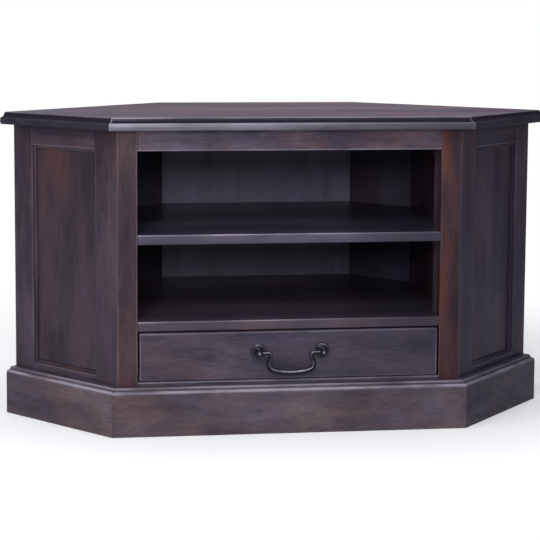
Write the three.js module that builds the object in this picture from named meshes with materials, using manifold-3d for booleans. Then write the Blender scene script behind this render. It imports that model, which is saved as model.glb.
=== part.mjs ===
// Corner television cabinet in dark polished wood.
// A six-sided carcass fits into the corner of a room: a front, two slanting wings, two walls that
// stand against the room and a short back. It has a moulded top, two open compartments between
// upright sides, a framed and panelled wing on each side, a moulded plinth and one dovetailed
// drawer that is pulled by a swan-neck bail.
// Lengths are millimetres and +Z is up. The origin lies on the floor under the middle of the
// cabinet, whose front looks along -Y. Pieces of the right-hand side are worked out first, and
// those of the left-hand side are their mirror images.

import * as THREE from 'three';
import { mergeVertices } from 'three/addons/utils/BufferGeometryUtils.js';
import Module from 'manifold-3d';

const wasm = await Module();
wasm.setup();

// Overall sizes
const overallWidth = 880;
const overallDepth = 430;
const overallHeight = 480;
const frontShare = 0.626; // front edge of the top between its mitred corners, of the width
const cornerTurn = Math.PI / 4; // the walls meet the room's square corner at half a right angle

// Clearances and easing that all wooden pieces share
const seatGap = 0.3; // between two pieces that seat on each other
const overrun = 6; // how far a cut passes the piece that it cuts
const arrisRadius = 1.4; // rounding of the long edges that a hand meets
const arrisSteps = 3;

// Top
const topThickness = 18.8;
const topOverhang = 29.3; // beyond the faces of the frames
const topNoseHeight = 11;
const topNoseBulge = 1.8;
const topHollowRise = 5.2;
const topHollowReach = 6.2;
const topHollowSag = 1.5;
const topQuirk = 0.9; // the small flats on both sides of the hollow

// Frames of the front and the wings
const frameThickness = 20;
const frontStileWidth = 31.2;
const topRailWidth = 32.3;
const frontRailWidth = 48; // bottom rail of the front, mostly behind the plinth
const frontRailTop = 78.5; // its upper edge above the floor
const wingFrontStileWidth = 44;
const wingRearStileWidth = 41.6;
const wingRailWidth = 54; // bottom rail of a wing
const wingRailTop = 84;
const tenonThickness = 8;
const tenonLength = 17;
const tenonShoulder = 7; // taken off the upper and lower edge of a rail
const tongueWidth = 12; // loose tongue across the mitre of two stiles
const tongueThickness = 3.6;
const tongueInset = 12; // from each end of the stiles to the end of their tongue

// Panel of a wing
const panelRecess = 7;
const panelThickness = 8;
const panelHousing = 7; // how deep the panel enters its frame
const beadWidth = 4.4;
const beadHeight = 4;
const beadSteps = 5;

// Walls and inner boards
const wallThickness = 15;
const wallTongue = 5; // a wall's tongue in the rear stile
const shelfThickness = 14.7;
const middleShelfTop = 302.3;
const lowerShelfTop = 170.6;
const baseThickness = 12;
const baseTop = 72;
const housingDepth = 5; // how deep the boards enter the walls
const cleatWidth = 16;
const cleatInset = 12; // from the ends of a cleat to the end of the space that it runs along

// Upright sides of the compartments, and the posts that stand between them and the stiles
const sideInset = 25; // from the edge of the opening out to the face of a side
const sideThickness = 12;
const postDepth = 22.7;

// Plinth
const plinthHeight = 72.8;
const plinthThickness = 19.9;
const plinthNoseRise = 4;
const plinthNoseReach = 4.2;
const plinthNoseBulge = 1.1;
const plinthQuirk = 0.9;
const plinthHollowRise = 2.8;
const plinthHollowReach = 3.4;
const plinthHollowSag = 0.9;
const mouldingSteps = 6;

// Drawer
const drawerSideGap = 2.5; // to the stiles
const drawerTopGap = 2.8; // to the lower shelf
const drawerBottomGap = 1; // to the bottom rail
const drawerRearGap = 25.7; // from the rear corners of the drawer to the slanting walls
const drawerSideThickness = 12;
const drawerSideSetback = 0.6; // from the end of the drawer front to the face of the side
const drawerSideDrop = 5; // from the top of the drawer front to the top of the side
const drawerBackThickness = 10;
const drawerBackInset = 8; // from the rear end of the side
const drawerBackDrop = 6; // from the top of the side to the top of the back
const drawerBackHousing = 4;
const drawerBottomThickness = 5;
const drawerBottomRise = 9; // from the lower edge of the drawer front
const drawerGroove = 5;
const drawerEdgeRadius = 2.6;
const dovetailCount = 3;
const dovetailLap = 5; // wood of the drawer front left in front of the tails
const dovetailRootShare = 0.52; // width of a tail where it leaves the side, of one pitch
const dovetailTipShare = 0.7; // width of a tail at its end, of one pitch

// Runners, guides and stops of the drawer
const runnerWidth = 20;
const guideThickness = 16;
const guideHeight = 24;
const guideGap = 1.2; // between a side and its guide
const runnerSetback = 17.7; // from the rear of the drawer to the end of its runners
const stopLength = 44;
const stopDepth = 16;
const stopHeight = 9;
const stopSpacingShare = 0.6; // between the middles of the stops, of the drawer's width

// Handle
const handlePitch = 98.4;
const handleRise = 5.9; // from the middle of the drawer front up to the pivots
const roseRadius = 12.9;
const roseThickness = 2.4;
const roseHollowShare = 0.62; // radius where the rose's hollow begins, of its own radius
const neckRadius = 4.6;
const neckLength = 5;
const headRadius = 6.2;
const pivotStandoff = 13.6; // from the drawer's face to the pivot axis
const postSides = 28;
const bailHalfWidth = 35;
const bailDrop = 30.5;
const bailPinRadius = 2.3;
const bailLegRadius = 3.1;
const bailBarRadius = 4.2;
const bailPinEntry = 4.4; // how deep a pin enters the head of its post
const bailPinClearance = 0.35;
const bailSides = 12;
const bailSteps = 56;
const boltRadius = 2;
const boltClearance = 0.3;
const boltEntry = 4; // how far the bolt enters the post
const boltHeadRadius = 4.6;
const boltHeadThickness = 2.6;
const boltSides = 20;
const boltSlotWidth = 1.2;
const boltSlotDepth = 1;

// Half of the bail's centre line from a pin to the middle of the bar:
// across as shares of the half width, down as shares of the drop
const bailShares = [
  [1.06, 0], [0.955, 0.012], [0.9, 0.1], [0.915, 0.26], [0.985, 0.42],
  [1, 0.57], [0.955, 0.74], [0.82, 0.86], [0.6, 0.93], [0.3, 0.98], [0, 1],
];
const bailPinShare = 0.1; // stretch at each end of the bail that is a plain pin
const bailBarShare = 0.36; // stretch from each end where the bar begins to swell

// Finishes: colour, roughness and metalness of each kind of surface
const finishes = {
  polishedTop: [0x4a3c40, 0.3, 0],
  polishedFrame: [0x42302f, 0.34, 0],
  polishedPanel: [0x45302e, 0.32, 0],
  polishedPlinth: [0x4d3d3f, 0.33, 0],
  innerBoard: [0x2b2226, 0.3, 0],
  hiddenWood: [0x5b4334, 0.7, 0],
  drawerLining: [0x8a6a4a, 0.65, 0],
  darkBronze: [0x2c2624, 0.3, 0.9],
};

// Plan geometry: each upright face of the cabinet is a line seen from above
function faceLine(origin, turn) {
  const along = new THREE.Vector2(Math.cos(turn), Math.sin(turn));
  const inward = new THREE.Vector2(-Math.sin(turn), Math.cos(turn));
  return { origin, along, inward };
}

function setIn(line, distance) {
  return { ...line, origin: line.origin.clone().addScaledVector(line.inward, distance) };
}

function meet(first, second) {
  const apart = second.origin.clone().sub(first.origin);
  const reach = apart.cross(second.along) / first.along.cross(second.along);
  return first.origin.clone().addScaledVector(first.along, reach);
}

const frontRow = -overallDepth / 2;
const backRow = overallDepth / 2;
const frontHalf = (overallWidth * frontShare) / 2;
const wingRun = (overallWidth / 2 - frontHalf) * Math.tan(cornerTurn);
const topFront = faceLine(new THREE.Vector2(0, frontRow), 0);
const topWing = faceLine(new THREE.Vector2(frontHalf, frontRow), cornerTurn);
const wallTurn = cornerTurn + Math.PI / 2;
const wallLine = faceLine(new THREE.Vector2(overallWidth / 2, frontRow + wingRun), wallTurn);
const backLine = faceLine(new THREE.Vector2(0, backRow), Math.PI);
const bodyFront = setIn(topFront, topOverhang);
const bodyWing = setIn(topWing, topOverhang);
const bodyCorner = meet(bodyFront, bodyWing);
const wingEnd = meet(bodyWing, wallLine);
const backCorner = meet(wallLine, backLine);
const wingLength = wingEnd.distanceTo(bodyCorner);
const wallLength = backCorner.distanceTo(wingEnd);
const bodyRow = bodyCorner.y;
const openingHalf = bodyCorner.x - frontStileWidth;
const carcassTop = overallHeight - topThickness - seatGap;
const topRailBottom = carcassTop - topRailWidth;
const mitreSlope = Math.tan(cornerTurn / 2);
const mitreShift = seatGap / 2 / Math.cos(cornerTurn / 2);

// Outline of a board that lies level in the carcass, worked out from its distance to each face
function levelOutline(front, wing, wall, back) {
  const frontSide = setIn(topFront, front);
  const wingSide = setIn(topWing, wing);
  const wallSide = setIn(wallLine, wall);
  const backSide = setIn(backLine, back);
  const right = [meet(frontSide, wingSide), meet(wingSide, wallSide), meet(wallSide, backSide)];
  const left = right.map((point) => new THREE.Vector2(-point.x, point.y)).reverse();
  return [...right, ...left];
}

// Shapes: every shape is a closed solid, and pieces are joined and cut as solids
function closedSolid(geometry) {
  const bare = new THREE.BufferGeometry();
  bare.setAttribute('position', geometry.getAttribute('position').clone());
  if (geometry.index) {
    bare.setIndex(geometry.index.clone());
  }
  const merged = mergeVertices(bare);
  const corners = merged.index.array;
  const triangles = [];
  for (let i = 0; i < corners.length; i += 3) {
    const [a, b, c] = [corners[i], corners[i + 1], corners[i + 2]];
    if (a !== b && b !== c && c !== a) {
      triangles.push(a, b, c);
    }
  }
  const vertices = merged.getAttribute('position').array;
  if (enclosedVolume(vertices, triangles) < 0) {
    triangles.reverse();
  }
  return new wasm.Manifold(new wasm.Mesh({
    numProp: 3,
    vertProperties: new Float32Array(vertices),
    triVerts: new Uint32Array(triangles),
  }));
}

function enclosedVolume(vertices, triangles) {
  const corner = [new THREE.Vector3(), new THREE.Vector3(), new THREE.Vector3()];
  let volume = 0;
  for (let i = 0; i < triangles.length; i += 3) {
    corner.forEach((point, k) => point.fromArray(vertices, triangles[i + k] * 3));
    volume += corner[0].dot(corner[1].clone().cross(corner[2]));
  }
  return volume;
}

function solidGeometry(solid) {
  const mesh = solid.getMesh();
  const geometry = new THREE.BufferGeometry();
  geometry.setAttribute('position', new THREE.BufferAttribute(mesh.vertProperties, 3));
  geometry.setIndex(new THREE.BufferAttribute(mesh.triVerts, 1));
  return geometry;
}

function mirrored(solid) {
  return closedSolid(solidGeometry(solid).scale(-1, 1, 1));
}

function block([x0, x1], [y0, y1], [z0, z1]) {
  const box = new THREE.BoxGeometry(x1 - x0, y1 - y0, z1 - z0);
  return closedSolid(box.translate((x0 + x1) / 2, (y0 + y1) / 2, (z0 + z1) / 2));
}

// A plan outline raised from one height to another
function upright(outline, [z0, z1]) {
  const shape = new THREE.Shape(outline);
  const geometry = new THREE.ExtrudeGeometry(shape, { depth: z1 - z0, bevelEnabled: false });
  return closedSolid(geometry.translate(0, 0, z0));
}

// A section in Y and Z carried along X
const sectionToX = new THREE.Matrix4().makeBasis(
  new THREE.Vector3(0, 1, 0),
  new THREE.Vector3(0, 0, 1),
  new THREE.Vector3(1, 0, 0),
);

function alongX(section, [x0, x1]) {
  const shape = new THREE.Shape(section);
  const geometry = new THREE.ExtrudeGeometry(shape, { depth: x1 - x0, bevelEnabled: false });
  return closedSolid(geometry.applyMatrix4(sectionToX).translate(x0, 0, 0));
}

// Rings of points joined one after the other. The first and the last ring are closed by flat
// ends that are cut into triangles as the flat outline says, or joined to each other.
function loft(rings, endOutline) {
  const count = rings[0].length;
  const vertices = rings.flat().flatMap((point) => [point.x, point.y, point.z]);
  const triangles = [];
  const spans = endOutline ? rings.length - 1 : rings.length;
  for (let ring = 0; ring < spans; ring += 1) {
    for (let k = 0; k < count; k += 1) {
      const here = ring * count;
      const there = ((ring + 1) % rings.length) * count;
      const next = (k + 1) % count;
      triangles.push(here + k, here + next, there + next);
      triangles.push(here + k, there + next, there + k);
    }
  }
  if (endOutline) {
    const last = (rings.length - 1) * count;
    const clockwise = THREE.ShapeUtils.isClockWise(endOutline);
    THREE.ShapeUtils.triangulateShape(endOutline, []).forEach(([a, b, c]) => {
      const [first, second, third] = clockwise ? [a, b, c] : [c, b, a];
      triangles.push(first, second, third);
      triangles.push(last + third, last + second, last + first);
    });
  }
  const geometry = new THREE.BufferGeometry();
  geometry.setAttribute('position', new THREE.Float32BufferAttribute(vertices, 3));
  geometry.setIndex(triangles);
  return closedSolid(geometry);
}

// Points on a shallow curve that bulges to the left of its chord, or to the right if negative
function bowed(from, to, bulge, steps) {
  const chord = to.clone().sub(from);
  const side = new THREE.Vector2(-chord.y, chord.x).normalize();
  return Array.from({ length: steps + 1 }, (_, k) => {
    const share = k / steps;
    const lift = bulge * 4 * share * (1 - share);
    return from.clone().addScaledVector(chord, share).addScaledVector(side, lift);
  });
}

// The corners of an outline, of which those with a radius are rounded
function eased(corners, radii) {
  return corners.flatMap((corner, i) => {
    if (!radii[i]) {
      return [corner];
    }
    const before = corners[(i + corners.length - 1) % corners.length].clone().sub(corner).normalize();
    const after = corners[(i + 1) % corners.length].clone().sub(corner).normalize();
    const half = Math.acos(before.dot(after)) / 2;
    const middle = before.clone().add(after).normalize();
    const centre = corner.clone().addScaledVector(middle, radii[i] / Math.sin(half));
    const from = corner.clone().addScaledVector(before, radii[i] / Math.tan(half)).sub(centre);
    const to = corner.clone().addScaledVector(after, radii[i] / Math.tan(half)).sub(centre);
    const sweep = Math.atan2(from.cross(to), from.dot(to));
    return Array.from({ length: arrisSteps + 1 }, (_, k) => {
      const turned = from.clone().rotateAround(new THREE.Vector2(), (sweep * k) / arrisSteps);
      return turned.add(centre);
    });
  });
}

function points(pairs) {
  return pairs.map(([x, y]) => new THREE.Vector2(x, y));
}

function grown([low, high], gap) {
  return [low - gap, high + gap];
}

// Carcass top
function topEdgeProfile() {
  const hollowLow = topNoseBulge + topQuirk;
  const hollowHigh = hollowLow + topHollowReach;
  const hollowTop = topNoseHeight + topHollowRise;
  const fillet = hollowHigh + topQuirk;
  const nose = bowed(
    new THREE.Vector2(topNoseBulge, 0),
    new THREE.Vector2(topNoseBulge, topNoseHeight),
    topNoseBulge,
    mouldingSteps,
  );
  const hollow = bowed(
    new THREE.Vector2(hollowLow, topNoseHeight),
    new THREE.Vector2(hollowHigh, hollowTop),
    -topHollowSag,
    mouldingSteps,
  );
  const arris = points([
    [fillet, hollowTop],
    [fillet, topThickness - arrisRadius],
    [fillet + arrisRadius * (1 - Math.SQRT1_2), topThickness - arrisRadius * (1 - Math.SQRT1_2)],
    [fillet + arrisRadius, topThickness],
  ]);
  return [...nose, ...hollow, ...arris];
}

function topBoard() {
  const rings = topEdgeProfile().map((point) => (
    levelOutline(point.x, point.x, 0, 0).map((corner) => (
      new THREE.Vector3(corner.x, corner.y, overallHeight - topThickness + point.y)
    ))
  ));
  return loft(rings, levelOutline(0, 0, 0, 0));
}

// Front frame
function frontStile() {
  const inner = bodyCorner.x - frameThickness * mitreSlope - mitreShift;
  const outline = eased(points([
    [openingHalf, bodyRow],
    [bodyCorner.x - mitreShift, bodyRow],
    [inner, bodyRow + frameThickness],
    [openingHalf, bodyRow + frameThickness],
  ]), [arrisRadius, 0, 0, 0]);
  const stile = upright(outline, [0, carcassTop]);
  const mortises = [
    frontTenons([topRailBottom, carcassTop], seatGap),
    frontTenons([frontRailTop - frontRailWidth, frontRailTop], seatGap),
  ];
  return mortises.reduce((rest, cut) => rest.subtract(cut), stile.subtract(mitreTongue(seatGap)));
}

function tenonDepths(gap) {
  const middle = frameThickness / 2;
  return grown([middle - tenonThickness / 2, middle + tenonThickness / 2], gap);
}

// One bar whose two ends are the tenons of a front rail, or the mortises when it is grown
function frontTenons([low, high], gap) {
  const reach = openingHalf + tenonLength + gap;
  const depths = tenonDepths(gap).map((depth) => bodyRow + depth);
  return block([-reach, reach], depths, grown([low + tenonShoulder, high - tenonShoulder], gap));
}

function frontRail([low, high], easedLow, easedHigh) {
  const section = eased(points([
    [bodyRow, low],
    [bodyRow + frameThickness, low],
    [bodyRow + frameThickness, high],
    [bodyRow, high],
  ]), [easedLow, 0, 0, easedHigh]);
  const reach = openingHalf - seatGap;
  return alongX(section, [-reach, reach]).add(frontTenons([low, high], 0));
}

// Loose tongue across the mitre between a front stile and a wing's front stile
function mitreTongue(gap) {
  const half = tongueWidth / 2 + gap;
  const end = tongueInset - gap;
  const tongue = block(
    [-half, half],
    grown([-tongueThickness / 2, tongueThickness / 2], gap),
    [end, carcassTop - end],
  );
  const middle = frameThickness / 2;
  const turned = solidGeometry(tongue).rotateZ(cornerTurn / 2);
  return closedSolid(turned.translate(bodyCorner.x - middle * mitreSlope, bodyRow + middle, 0));
}

// The two faces of a compartment's upright side, and the edge of the shelves that enter it
const compartmentSide = {
  inner: faceLine(new THREE.Vector2(openingHalf + sideInset, bodyRow), Math.PI / 2),
  outer: faceLine(new THREE.Vector2(openingHalf + sideInset + sideThickness, bodyRow), Math.PI / 2),
};
const shelfEdge = setIn(compartmentSide.inner, seatGap - housingDepth);

// Wing frames, in a frame of their own: X runs from the cabinet's front corner along the face
// to the rear, Y runs inward and Z up
const wingOpening = [wingFrontStileWidth, wingLength - wingRearStileWidth];
const wingRails = {
  top: [topRailBottom, carcassTop],
  bottom: [wingRailTop - wingRailWidth, wingRailTop],
};

function wingTenons([low, high], gap) {
  const ends = grown(wingOpening, tenonLength + gap);
  return block(ends, tenonDepths(gap), grown([low + tenonShoulder, high - tenonShoulder], gap));
}

function panelBoard(gap) {
  return block(
    grown(wingOpening, panelHousing - seatGap + gap),
    grown([panelRecess, panelRecess + panelThickness], gap),
    grown([wingRailTop, topRailBottom], panelHousing - seatGap + gap),
  );
}

function withFrameCuts(stile) {
  return stile
    .subtract(wingTenons(wingRails.top, seatGap))
    .subtract(wingTenons(wingRails.bottom, seatGap))
    .subtract(panelBoard(seatGap));
}

function intoWing(solid) {
  const geometry = solidGeometry(solid).translate(-bodyCorner.x, -bodyCorner.y, 0);
  return closedSolid(geometry.rotateZ(-cornerTurn));
}

function wingFrontStile() {
  const outline = eased(points([
    [mitreShift, 0],
    [wingFrontStileWidth, 0],
    [wingFrontStileWidth, frameThickness],
    [frameThickness * mitreSlope + mitreShift, frameThickness],
  ]), [0, arrisRadius, 0, 0]);
  const stile = upright(outline, [0, carcassTop]);
  return withFrameCuts(stile).subtract(intoWing(mitreTongue(seatGap)));
}

function wingRearStile() {
  const start = wingLength - wingRearStileWidth;
  const outline = eased(points([
    [start, 0],
    [wingLength, 0],
    [wingLength, frameThickness],
    [start, frameThickness],
  ]), [arrisRadius, arrisRadius, 0, 0]);
  const centre = wingLength - wallThickness / 2;
  const groove = block(
    grown([centre - tongueThickness / 2, centre + tongueThickness / 2], seatGap),
    [frameThickness - wallTongue - seatGap, frameThickness + overrun],
    [-overrun, carcassTop + overrun],
  );
  return withFrameCuts(upright(outline, [0, carcassTop])).subtract(groove);
}

function wingRail([low, high], easedLow, easedHigh) {
  const section = eased(points([
    [0, low],
    [frameThickness, low],
    [frameThickness, high],
    [0, high],
  ]), [easedLow, 0, 0, easedHigh]);
  const rail = alongX(section, grown(wingOpening, -seatGap));
  return rail.add(wingTenons([low, high], 0)).subtract(panelBoard(seatGap));
}

// Quarter-round bead that lines the panel's recess with four mitred lengths
function panelBead() {
  const section = [new THREE.Vector2(0, 0)];
  for (let k = 0; k <= beadSteps; k += 1) {
    const turn = (Math.PI / 2) * (k / beadSteps);
    section.push(new THREE.Vector2(beadWidth * Math.cos(turn), beadHeight * Math.sin(turn)));
  }
  const floor = panelRecess - seatGap;
  const rings = section.map((point) => {
    const [x0, x1] = grown(wingOpening, -seatGap - point.x);
    const [z0, z1] = grown([wingRailTop, topRailBottom], -seatGap - point.x);
    const depth = floor - point.y;
    return [[x0, z0], [x1, z0], [x1, z1], [x0, z1]].map(([x, z]) => new THREE.Vector3(x, depth, z));
  });
  return loft(rings, null);
}

// It begins behind the upright side, whose outer face passes its front end at a slant
function wingCleat(boardUnderside) {
  const top = boardUnderside - seatGap;
  const inner = frameThickness + seatGap;
  const sideEnd = meet(compartmentSide.outer, setIn(bodyWing, inner + cleatWidth));
  const start = sideEnd.sub(bodyCorner).dot(bodyWing.along);
  return block(
    [start + cleatInset, wingLength - wallThickness - cleatInset],
    [inner, inner + cleatWidth],
    [top - cleatWidth, top],
  );
}

// Housings for level boards, each given by its top and its thickness
const shelves = [[middleShelfTop, shelfThickness], [lowerShelfTop, shelfThickness]];
const levelBoards = [...shelves, [baseTop, baseThickness]];

function housings(boards, cutAcross) {
  return boards.map(([top, thickness]) => cutAcross(grown([top - thickness, top], seatGap)));
}

// Walls, in a frame of their own: X runs from the wing's rear corner to the cabinet's back
function slantingWall() {
  const start = frameThickness + seatGap;
  const outline = points([
    [start, 0],
    [wallLength - mitreShift, 0],
    [wallLength - wallThickness * mitreSlope - mitreShift, wallThickness],
    [start, wallThickness],
  ]);
  const middle = wallThickness / 2;
  const tongue = block(
    [start - wallTongue, start + overrun],
    [middle - tongueThickness / 2, middle + tongueThickness / 2],
    [0, carcassTop],
  );
  const wall = upright(outline, [0, carcassTop]).add(tongue);
  const cuts = housings(levelBoards, (heights) => block(
    [start - overrun, wallLength],
    [wallThickness - housingDepth, wallThickness + overrun],
    heights,
  ));
  return cuts.reduce((rest, cut) => rest.subtract(cut), wall);
}

function backWall() {
  const outer = backCorner.x - mitreShift;
  const inner = outer - wallThickness * mitreSlope;
  const wall = upright(points([
    [-inner, backRow - wallThickness],
    [inner, backRow - wallThickness],
    [outer, backRow],
    [-outer, backRow],
  ]), [0, carcassTop]);
  const cuts = housings(levelBoards, (heights) => block(
    grown([-outer, outer], overrun),
    [backRow - wallThickness - overrun, backRow - wallThickness + housingDepth],
    heights,
  ));
  return cuts.reduce((rest, cut) => rest.subtract(cut), wall);
}

// An upright side runs from the wing's frame to the slanting wall, with both ends cut to them
const postRow = bodyRow + frameThickness + seatGap;
const postRear = postRow + postDepth;

function uprightSide() {
  const wingFace = setIn(bodyWing, frameThickness + seatGap);
  const wallFace = setIn(wallLine, wallThickness + seatGap);
  const board = upright([
    meet(compartmentSide.inner, wingFace),
    meet(compartmentSide.outer, wingFace),
    meet(compartmentSide.outer, wallFace),
    meet(compartmentSide.inner, wallFace),
  ], [baseTop + seatGap, carcassTop]);
  const face = compartmentSide.inner.origin.x;
  const cuts = housings(shelves, (heights) => block(
    [face - overrun, face + housingDepth],
    [postRear, backRow],
    heights,
  ));
  return cuts.reduce((rest, cut) => rest.subtract(cut), board);
}

// A post stands on the drawer's guide, flush with the edge of the opening, and fills the corner
// between the stile, the wing's frame and the upright side
function openingPost() {
  const wingFace = setIn(bodyWing, frameThickness + seatGap);
  const sideFace = setIn(compartmentSide.inner, seatGap);
  const outline = [
    new THREE.Vector2(openingHalf, postRow),
    meet(faceLine(new THREE.Vector2(0, postRow), 0), wingFace),
    meet(sideFace, wingFace),
    new THREE.Vector2(sideFace.origin.x, postRear),
    new THREE.Vector2(openingHalf, postRear),
  ];
  return upright(outline, [baseTop + guideHeight + 2 * seatGap, carcassTop]);
}

// Level boards inside the carcass
const innerDepth = topOverhang + frameThickness + seatGap;
const housedDepth = wallThickness - housingDepth + seatGap;

// A shelf is as wide as the opening between the posts and enters the sides behind them
function shelf(top) {
  const low = top - shelfThickness;
  const wide = postRear + seatGap;
  const lipSection = eased(points([
    [bodyRow, low],
    [wide + overrun, low],
    [wide + overrun, top],
    [bodyRow, top],
  ]), [arrisRadius, 0, 0, arrisRadius]);
  const lip = alongX(lipSection, grown([-openingHalf, openingHalf], -seatGap));
  const wall = setIn(wallLine, housedDepth);
  const right = [
    meet(shelfEdge, faceLine(new THREE.Vector2(0, wide), 0)),
    meet(shelfEdge, wall),
    meet(wall, setIn(backLine, housedDepth)),
  ];
  const left = right.map((point) => new THREE.Vector2(-point.x, point.y)).reverse();
  return upright([...right, ...left], [low, top]).add(lip);
}

function baseBoard() {
  const outline = levelOutline(innerDepth, innerDepth, housedDepth, housedDepth);
  return upright(outline, [baseTop - baseThickness, baseTop]);
}

function frontCleat(boardUnderside) {
  const top = boardUnderside - seatGap;
  const inner = bodyRow + frameThickness + seatGap;
  const reach = openingHalf - cleatInset;
  return block([-reach, reach], [inner, inner + cleatWidth], [top - cleatWidth, top]);
}

// Plinth: a moulded section whose ends are mitred at the front corners
function plinthProfile() {
  const noseLow = plinthHeight - arrisRadius - plinthHollowRise - plinthNoseRise;
  const nose = bowed(
    new THREE.Vector2(0, noseLow),
    new THREE.Vector2(plinthNoseReach, noseLow + plinthNoseRise),
    plinthNoseBulge,
    mouldingSteps,
  );
  const hollowLow = plinthNoseReach + plinthQuirk;
  const hollow = bowed(
    new THREE.Vector2(hollowLow, noseLow + plinthNoseRise),
    new THREE.Vector2(hollowLow + plinthHollowReach, plinthHeight - arrisRadius),
    -plinthHollowSag,
    mouldingSteps,
  );
  const ledge = points([
    [hollowLow + plinthHollowReach + arrisRadius, plinthHeight],
    [plinthThickness, plinthHeight],
    [plinthThickness, 0],
  ]);
  return [new THREE.Vector2(0, 0), ...nose, ...hollow, ...ledge];
}

const plinthFront = setIn(bodyFront, -seatGap - plinthThickness);
const plinthWing = setIn(bodyWing, -seatGap - plinthThickness);
const plinthCorner = meet(plinthFront, plinthWing);
const plinthEnd = meet(plinthWing, wallLine);

function plinthFrontBoard() {
  const profile = plinthProfile();
  const ring = (side) => profile.map((point) => {
    const reach = plinthCorner.x - point.x * mitreSlope - mitreShift;
    return new THREE.Vector3(side * reach, plinthCorner.y + point.x, point.y);
  });
  return loft([ring(-1), ring(1)], profile);
}

function plinthWingBoard() {
  const profile = plinthProfile();
  const length = plinthEnd.distanceTo(plinthCorner);
  const front = profile.map(({ x, y }) => new THREE.Vector3(x * mitreSlope + mitreShift, x, y));
  const rear = profile.map(({ x, y }) => new THREE.Vector3(length, x, y));
  return loft([front, rear], profile);
}

// Drawer: all of it moves along Y
const drawerHalf = openingHalf - drawerSideGap;
const drawerLow = frontRailTop + drawerBottomGap;
const drawerHigh = lowerShelfTop - shelfThickness - drawerTopGap;
const drawerFrontBack = bodyRow + frameThickness;
const sideOuter = drawerHalf - drawerSideSetback;
const sideInner = sideOuter - drawerSideThickness;
const sideHigh = drawerHigh - drawerSideDrop;
const pivotHeight = (drawerLow + drawerHigh) / 2 + handleRise;
const sideLine = faceLine(new THREE.Vector2(sideOuter, bodyRow), Math.PI / 2);
const drawerRear = meet(sideLine, setIn(wallLine, wallThickness)).y - drawerRearGap;

// A board standing in X and Z whose front edges are rounded all the way round
function softFronted([x0, x1], [y0, y1], [z0, z1], radius) {
  const ring = (inset, y) => [[x0 + inset, z0 + inset], [x1 - inset, z0 + inset],
    [x1 - inset, z1 - inset], [x0 + inset, z1 - inset]].map(([x, z]) => new THREE.Vector3(x, y, z));
  const rings = [ring(0, y1)];
  const steps = arrisSteps + 1;
  for (let k = 0; k <= steps; k += 1) {
    const turn = (Math.PI / 2) * (k / steps);
    rings.push(ring(radius * (1 - Math.cos(turn)), y0 + radius * (1 - Math.sin(turn))));
  }
  const corners = rings[0].map((point) => new THREE.Vector2(point.x, point.z));
  return loft(rings, corners);
}

// The tails at the front end of a right-hand side, or their sockets when they are grown
function dovetails(gap) {
  const pitch = (sideHigh - drawerLow) / dovetailCount;
  const root = (pitch * dovetailRootShare) / 2 + gap;
  const tip = (pitch * dovetailTipShare) / 2 + gap;
  const tipRow = bodyRow + dovetailLap + seatGap - gap;
  const rootRow = drawerFrontBack + overrun;
  const across = grown([sideInner, sideOuter], gap);
  return Array.from({ length: dovetailCount }, (_, k) => {
    const middle = drawerLow + pitch * (k + 1 / 2);
    return alongX(points([
      [tipRow, middle - tip],
      [rootRow, middle - root],
      [rootRow, middle + root],
      [tipRow, middle + tip],
    ]), across);
  });
}

function drawerBottomBoard(gap) {
  const reach = sideInner + drawerGroove - seatGap + gap;
  const low = drawerLow + drawerBottomRise;
  return block(
    [-reach, reach],
    [drawerFrontBack - drawerGroove + seatGap - gap, drawerRear + gap],
    grown([low, low + drawerBottomThickness], gap),
  );
}

function drawerFront() {
  const board = softFronted(
    [-drawerHalf, drawerHalf],
    [bodyRow, drawerFrontBack],
    [drawerLow, drawerHigh],
    drawerEdgeRadius,
  );
  const bottomGroove = drawerBottomBoard(seatGap);
  const sockets = dovetails(seatGap).flatMap((socket) => [socket, mirrored(socket)]);
  const boltHoles = [-1, 1].map((side) => (
    roundBar(boltRadius + boltClearance, frameThickness + 2 * overrun, bodyRow - overrun, side)
  ));
  return [bottomGroove, ...sockets, ...boltHoles].reduce((rest, cut) => rest.subtract(cut), board);
}

function drawerSide() {
  const board = block(
    [sideInner, sideOuter],
    [drawerFrontBack + seatGap, drawerRear],
    [drawerLow, sideHigh],
  );
  const withTails = dovetails(0).reduce((joined, tail) => joined.add(tail), board);
  return withTails.subtract(drawerBottomBoard(seatGap)).subtract(drawerBackBoard(seatGap));
}

function drawerBackBoard(gap) {
  const reach = sideInner + drawerBackHousing - seatGap + gap;
  const rear = drawerRear - drawerBackInset;
  const low = drawerLow + drawerBottomRise + drawerBottomThickness + seatGap;
  return block(
    [-reach, reach],
    grown([rear - drawerBackThickness, rear], gap),
    grown([low, sideHigh - drawerBackDrop], gap),
  );
}

// Runners, guides and stops stand on the base board
const baseSeat = baseTop + seatGap;
const runnerFront = bodyRow + frameThickness + seatGap;
const runnerRear = drawerRear - runnerSetback;

function drawerRunner() {
  const outer = sideOuter + guideGap / 2;
  return block(
    [outer - runnerWidth, outer],
    [runnerFront, runnerRear],
    [baseSeat, drawerLow - seatGap],
  );
}

function drawerGuide() {
  const inner = sideOuter + guideGap;
  return block(
    [inner, inner + guideThickness],
    [runnerFront, runnerRear],
    [baseSeat, baseSeat + guideHeight],
  );
}

function drawerStop() {
  const middle = drawerHalf * stopSpacingShare;
  return block(
    [middle - stopLength / 2, middle + stopLength / 2],
    [runnerFront, runnerFront + stopDepth],
    [baseSeat, baseSeat + stopHeight],
  );
}

// Handle: round bars lie along Y at the height of the pivots
function roundBar(radius, length, startRow, side) {
  const bar = new THREE.CylinderGeometry(radius, radius, length, boltSides);
  const place = [side * (handlePitch / 2), startRow + length / 2, pivotHeight];
  return closedSolid(bar.translate(...place));
}

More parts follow.
